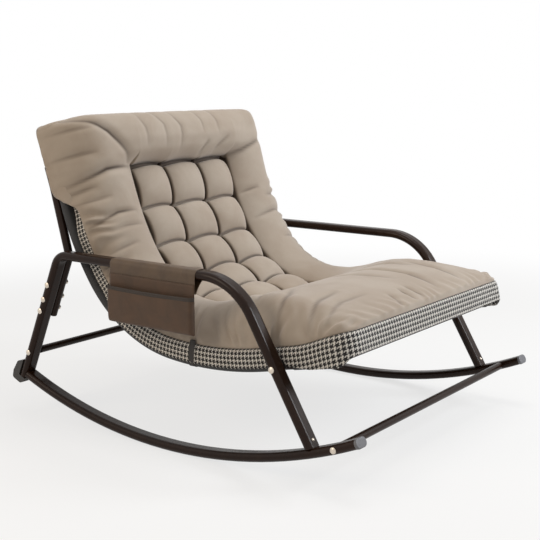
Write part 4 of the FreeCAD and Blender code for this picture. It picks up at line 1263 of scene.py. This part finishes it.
tieSettings = {
    "run": 0.4954,
    "width": 0.020,
    "columns": 5,
    "thickness": 0.0012,
    # x and lift of the tape's line on the +X side
    "line": (
        (0.4432, 0.060), (0.4462, 0.052), (0.4502, 0.036), (0.4514, 0.018), (0.4514, 0.002),
        (0.4496, -0.008), (0.4445, -0.0138), (0.4375, -0.0158), (0.4300, -0.0148),
    ),
    "flat": (0.040, 0.092),
}


def makeTies():
    look = tieSettings
    line, columns = look["line"], look["columns"]
    gone = travelled(line)
    points, faces, values = [], [], []
    for side in (1, -1):
        faces += gridFaces(len(line), columns, start=len(points), flip=side < 0)
        for k, (x, lift) in enumerate(line):
            for c in range(columns):
                across = (c / (columns - 1) - 0.5) * look["width"] * (1 + 0.06 * math.sin(k * 1.3))
                points.append(onSeat(look["run"] + across, side * x, lift + 0.0004 * math.sin(k + c)))
                values.append((across, gone[k]))
    piece = makePiece("cushionTies", points, faces, "tie_tape")
    addMap(piece, values)
    addSubdivision(piece)
    addThickness(piece, look["thickness"])
    shadeSoft(piece)
    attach(piece, "chair")
    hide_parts("cushion_ties")
    print("ties made")


# organiser: a sleeve over the right arm, with a pouch on its outer side

organiserSettings = {
    "armX": -0.475,
    "armZ": 0.503,
    "start": -0.130,
    "length": 0.310,
    "tubeHalfWidth": 0.0225,
    "tubeHalfDepth": 0.0125,
    "clear": 0.0009,
    "cloth": 0.0014,
    "drop": 0.0535,
    # x and z from the arm's middle, where the sleeve runs back under the arm
    "underArm": [(0.0, -0.0215), (-0.011, -0.034), (-0.0185, -0.047)],
    "spacing": 0.007,
    # height and size of the cloth's waves; the sleeve has less towards the cushion
    "sleeveWaves": (0.0002, 0.0009, 0.035),
    "backWaves": (0.0004, 0.05),
    "pouchWaves": (0.0009, 0.06),
    "endInset": 0.001,  # the back and the pouch are this much shorter than the sleeve at each end
    "backX": -0.5013,
    "backTop": 0.478,
    "backRows": 20,
    "low": 0.342,
    "pouchX": -0.5166,
    "pouchGap": 0.0022,  # between the middles of the back cloth and the pouch's ends
    "pouchRound": 0.010,
    # share of the depth at the foot's start, and how far round a half turn it swells from there
    "pouchSwell": (0.62, 0.25, 0.6),
    # height above the low edge, and share of the full depth
    "pouchFoot": ((0.0012, 0.08), (0.0027, 0.5), (0.0052, 0.8), (0.0092, 0.94)),
    "mouth": 0.445,
    "mouthSag": 0.003,
    # two ribs, one above the other: height against the mouth, and distance out
    "ribs": (
        (0.0012, 0.0009), (0.0004, 0.0014), (-0.0016, 0.0019), (-0.0034, 0.0015), (-0.0042, 0.0011),
        (-0.0050, 0.0015), (-0.0068, 0.0019), (-0.0082, 0.0014), (-0.0090, 0.0010),
    ),
    "bindingCloth": 0.0009,
}


def sleeveLine(look):
    # closed line round the arm in x and z, clockwise from the bottom of the outer side
    reach = look["tubeHalfWidth"] - look["tubeHalfDepth"]
    radius = look["tubeHalfDepth"] + look["clear"]
    outer = -reach - radius
    line = [(outer, -look["drop"])]
    line += [(outer - 0.0002, -look["drop"] * share) for share in (0.6, 0.3)]
    line += arcPoints((-reach, 0), radius, 180, 90) + [(0.0, radius + 0.0004)]
    line += arcPoints((reach, 0), radius, 90, -90)
    return np.array(line + look["underArm"])


def makeSleeve():
    look = organiserSettings
    line = sleeveLine(look)
    gone = travelled(np.concatenate((line, line[:1])))
    out = unit(line - line.mean(axis=0))
    innerWave, outerWave, size = look["sleeveWaves"]
    loose = np.where(line[:, 0] > 0, innerWave, outerWave)
    rows = int(look["length"] / look["spacing"]) + 1
    points, values = [], []
    for y in np.linspace(look["start"], look["start"] + look["length"], rows):
        level = np.full(len(line), y)
        waves = softNoise(np.stack((line[:, 0] * 2, level, line[:, 1]), axis=1), size, 9)
        x, z = (line + out * (loose * (waves + 0.3))[:, None]).T
        points.append(np.stack((look["armX"] + x, level, look["armZ"] + z), axis=1))
        values.append(np.stack((gone[:-1], level), axis=1))
    faces = gridFaces(rows, len(line), wrapColumns=True, flip=True)
    piece = makePiece("organiserSleeve", np.concatenate(points), faces, "sleeve_cloth")
    addMap(piece, np.concatenate(values))
    addThickness(piece, look["cloth"])
    addSubdivision(piece)
    shadeSoft(piece)
    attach(piece, "organiser")
    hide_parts("organiser_sleeve")
    print("organiser sleeve made, round:", round(float(gone[-1]), 4))


def endsOf(look):
    inset = look["endInset"]
    return look["start"] + inset, look["start"] + look["length"] - inset


def makeBack():
    look = organiserSettings
    rows = look["backRows"]
    columns = int(look["length"] / look["spacing"]) + 1
    heights = np.linspace(look["low"] + 0.002, look["backTop"], rows)
    places = np.linspace(*endsOf(look), columns)
    z, y = np.meshgrid(heights, places, indexing="ij")
    points = np.stack((0 * y, y, z), axis=-1).reshape(-1, 3)
    wave, size = look["backWaves"]
    points[:, 0] = look["backX"] + wave * softNoise(points, size, 21)
    faces = gridFaces(rows, columns, flip=True)
    piece = makePiece("organiserBack", points, faces, "organiser_cloth")
    addMap(piece, points[:, 1:])
    addThickness(piece, look["cloth"])
    shadeSoft(piece)
    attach(piece, "organiser")
    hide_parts("organiser_back")
    print("organiser back made")


def pouchShare(look, height):
    return (height - look["low"]) / (look["mouth"] - look["low"])


def pouchSection(look, height):
    # the pouch's outline in y and x at a height: ends turned in to the back cloth
    start, end = endsOf(look)
    backX = look["backX"] - look["pouchGap"]
    least, turned, more = look["pouchSwell"]
    swell = math.sin(math.pi * min(turned + more * pouchShare(look, height), 1))
    depth = (backX - look["pouchX"]) * (least + (1 - least) * swell)
    frontX = backX - depth
    radius = min(look["pouchRound"], depth * 0.9)
    middle = [(y, frontX) for y in np.linspace(start + radius, end - radius, 38)[1:-1]]
    left = arcPoints((start + radius, frontX + radius), radius, 180, 270)
    right = arcPoints((end - radius, frontX + radius), radius, 270, 360)
    return np.array([(start, backX), *left, *middle, *right, (end, backX)])


def mouthSag(look, y):
    # how far the mouth hangs down towards its middle
    return look["mouthSag"] * (1 - (2 * (y - look["start"]) / look["length"] - 1) ** 2)


def makePouch():
    look = organiserSettings
    levels = [(look["low"] + height, share) for height, share in look["pouchFoot"]]
    levels += [(height, 1.0) for height in np.linspace(look["low"] + 0.014, look["mouth"], 15)]
    backX = look["backX"] - look["pouchGap"]
    wave, size = look["pouchWaves"]
    points, values = [], []
    for height, share in levels:
        y, x = pouchSection(look, height).T
        x = backX + (x - backX) * share
        level = np.full(len(x), height)
        gone = travelled(np.stack((y, x), axis=1))
        waves = wave * softNoise(np.stack((0 * x, y, level), axis=1), size, 31)
        x = x + waves * np.clip((backX - x) / look["pouchRound"], 0, 1)
        sag = mouthSag(look, y) * pouchShare(look, height) ** 4
        points.append(np.stack((x, y, height - sag), axis=1))
        values.append(np.stack((gone, level), axis=1))
    faces = gridFaces(len(levels), len(x))
    piece = makePiece("organiserPouch", np.concatenate(points), faces, "organiser_cloth")
    addMap(piece, np.concatenate(values))
    addThickness(piece, look["cloth"])
    addSubdivision(piece)
    shadeSoft(piece)
    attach(piece, "organiser")
    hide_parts("organiser_pocket")
    print("organiser pouch made")


def makeBinding():
    look = organiserSettings
    section = pouchSection(look, look["mouth"])
    way = unit(np.gradient(section, axis=0))
    outward = np.stack((way[:, 1], -way[:, 0]), axis=1)
    top = look["mouth"] - mouthSag(look, section[:, 0])
    gone = travelled(section)
    points, values = [], []
    for lift, out in look["ribs"]:
        y, x = (section + outward * out).T
        points.append(np.stack((x, y, top + lift), axis=1))
        values.append(np.stack((gone, np.full(len(x), lift)), axis=1))
    faces = gridFaces(len(look["ribs"]), len(section), flip=True)
    piece = makePiece("pouchBinding", np.concatenate(points), faces, "binding_cloth")
    addMap(piece, np.concatenate(values))
    addThickness(piece, look["bindingCloth"])
    shadeSoft(piece)
    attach(piece, "organiser")
    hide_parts("pocket_binding")
    print("pouch binding made")


makeUpper()
makeLower()
makeSling()
makeTies()
makeSleeve()
makeBack()
makePouch()
makeBinding()

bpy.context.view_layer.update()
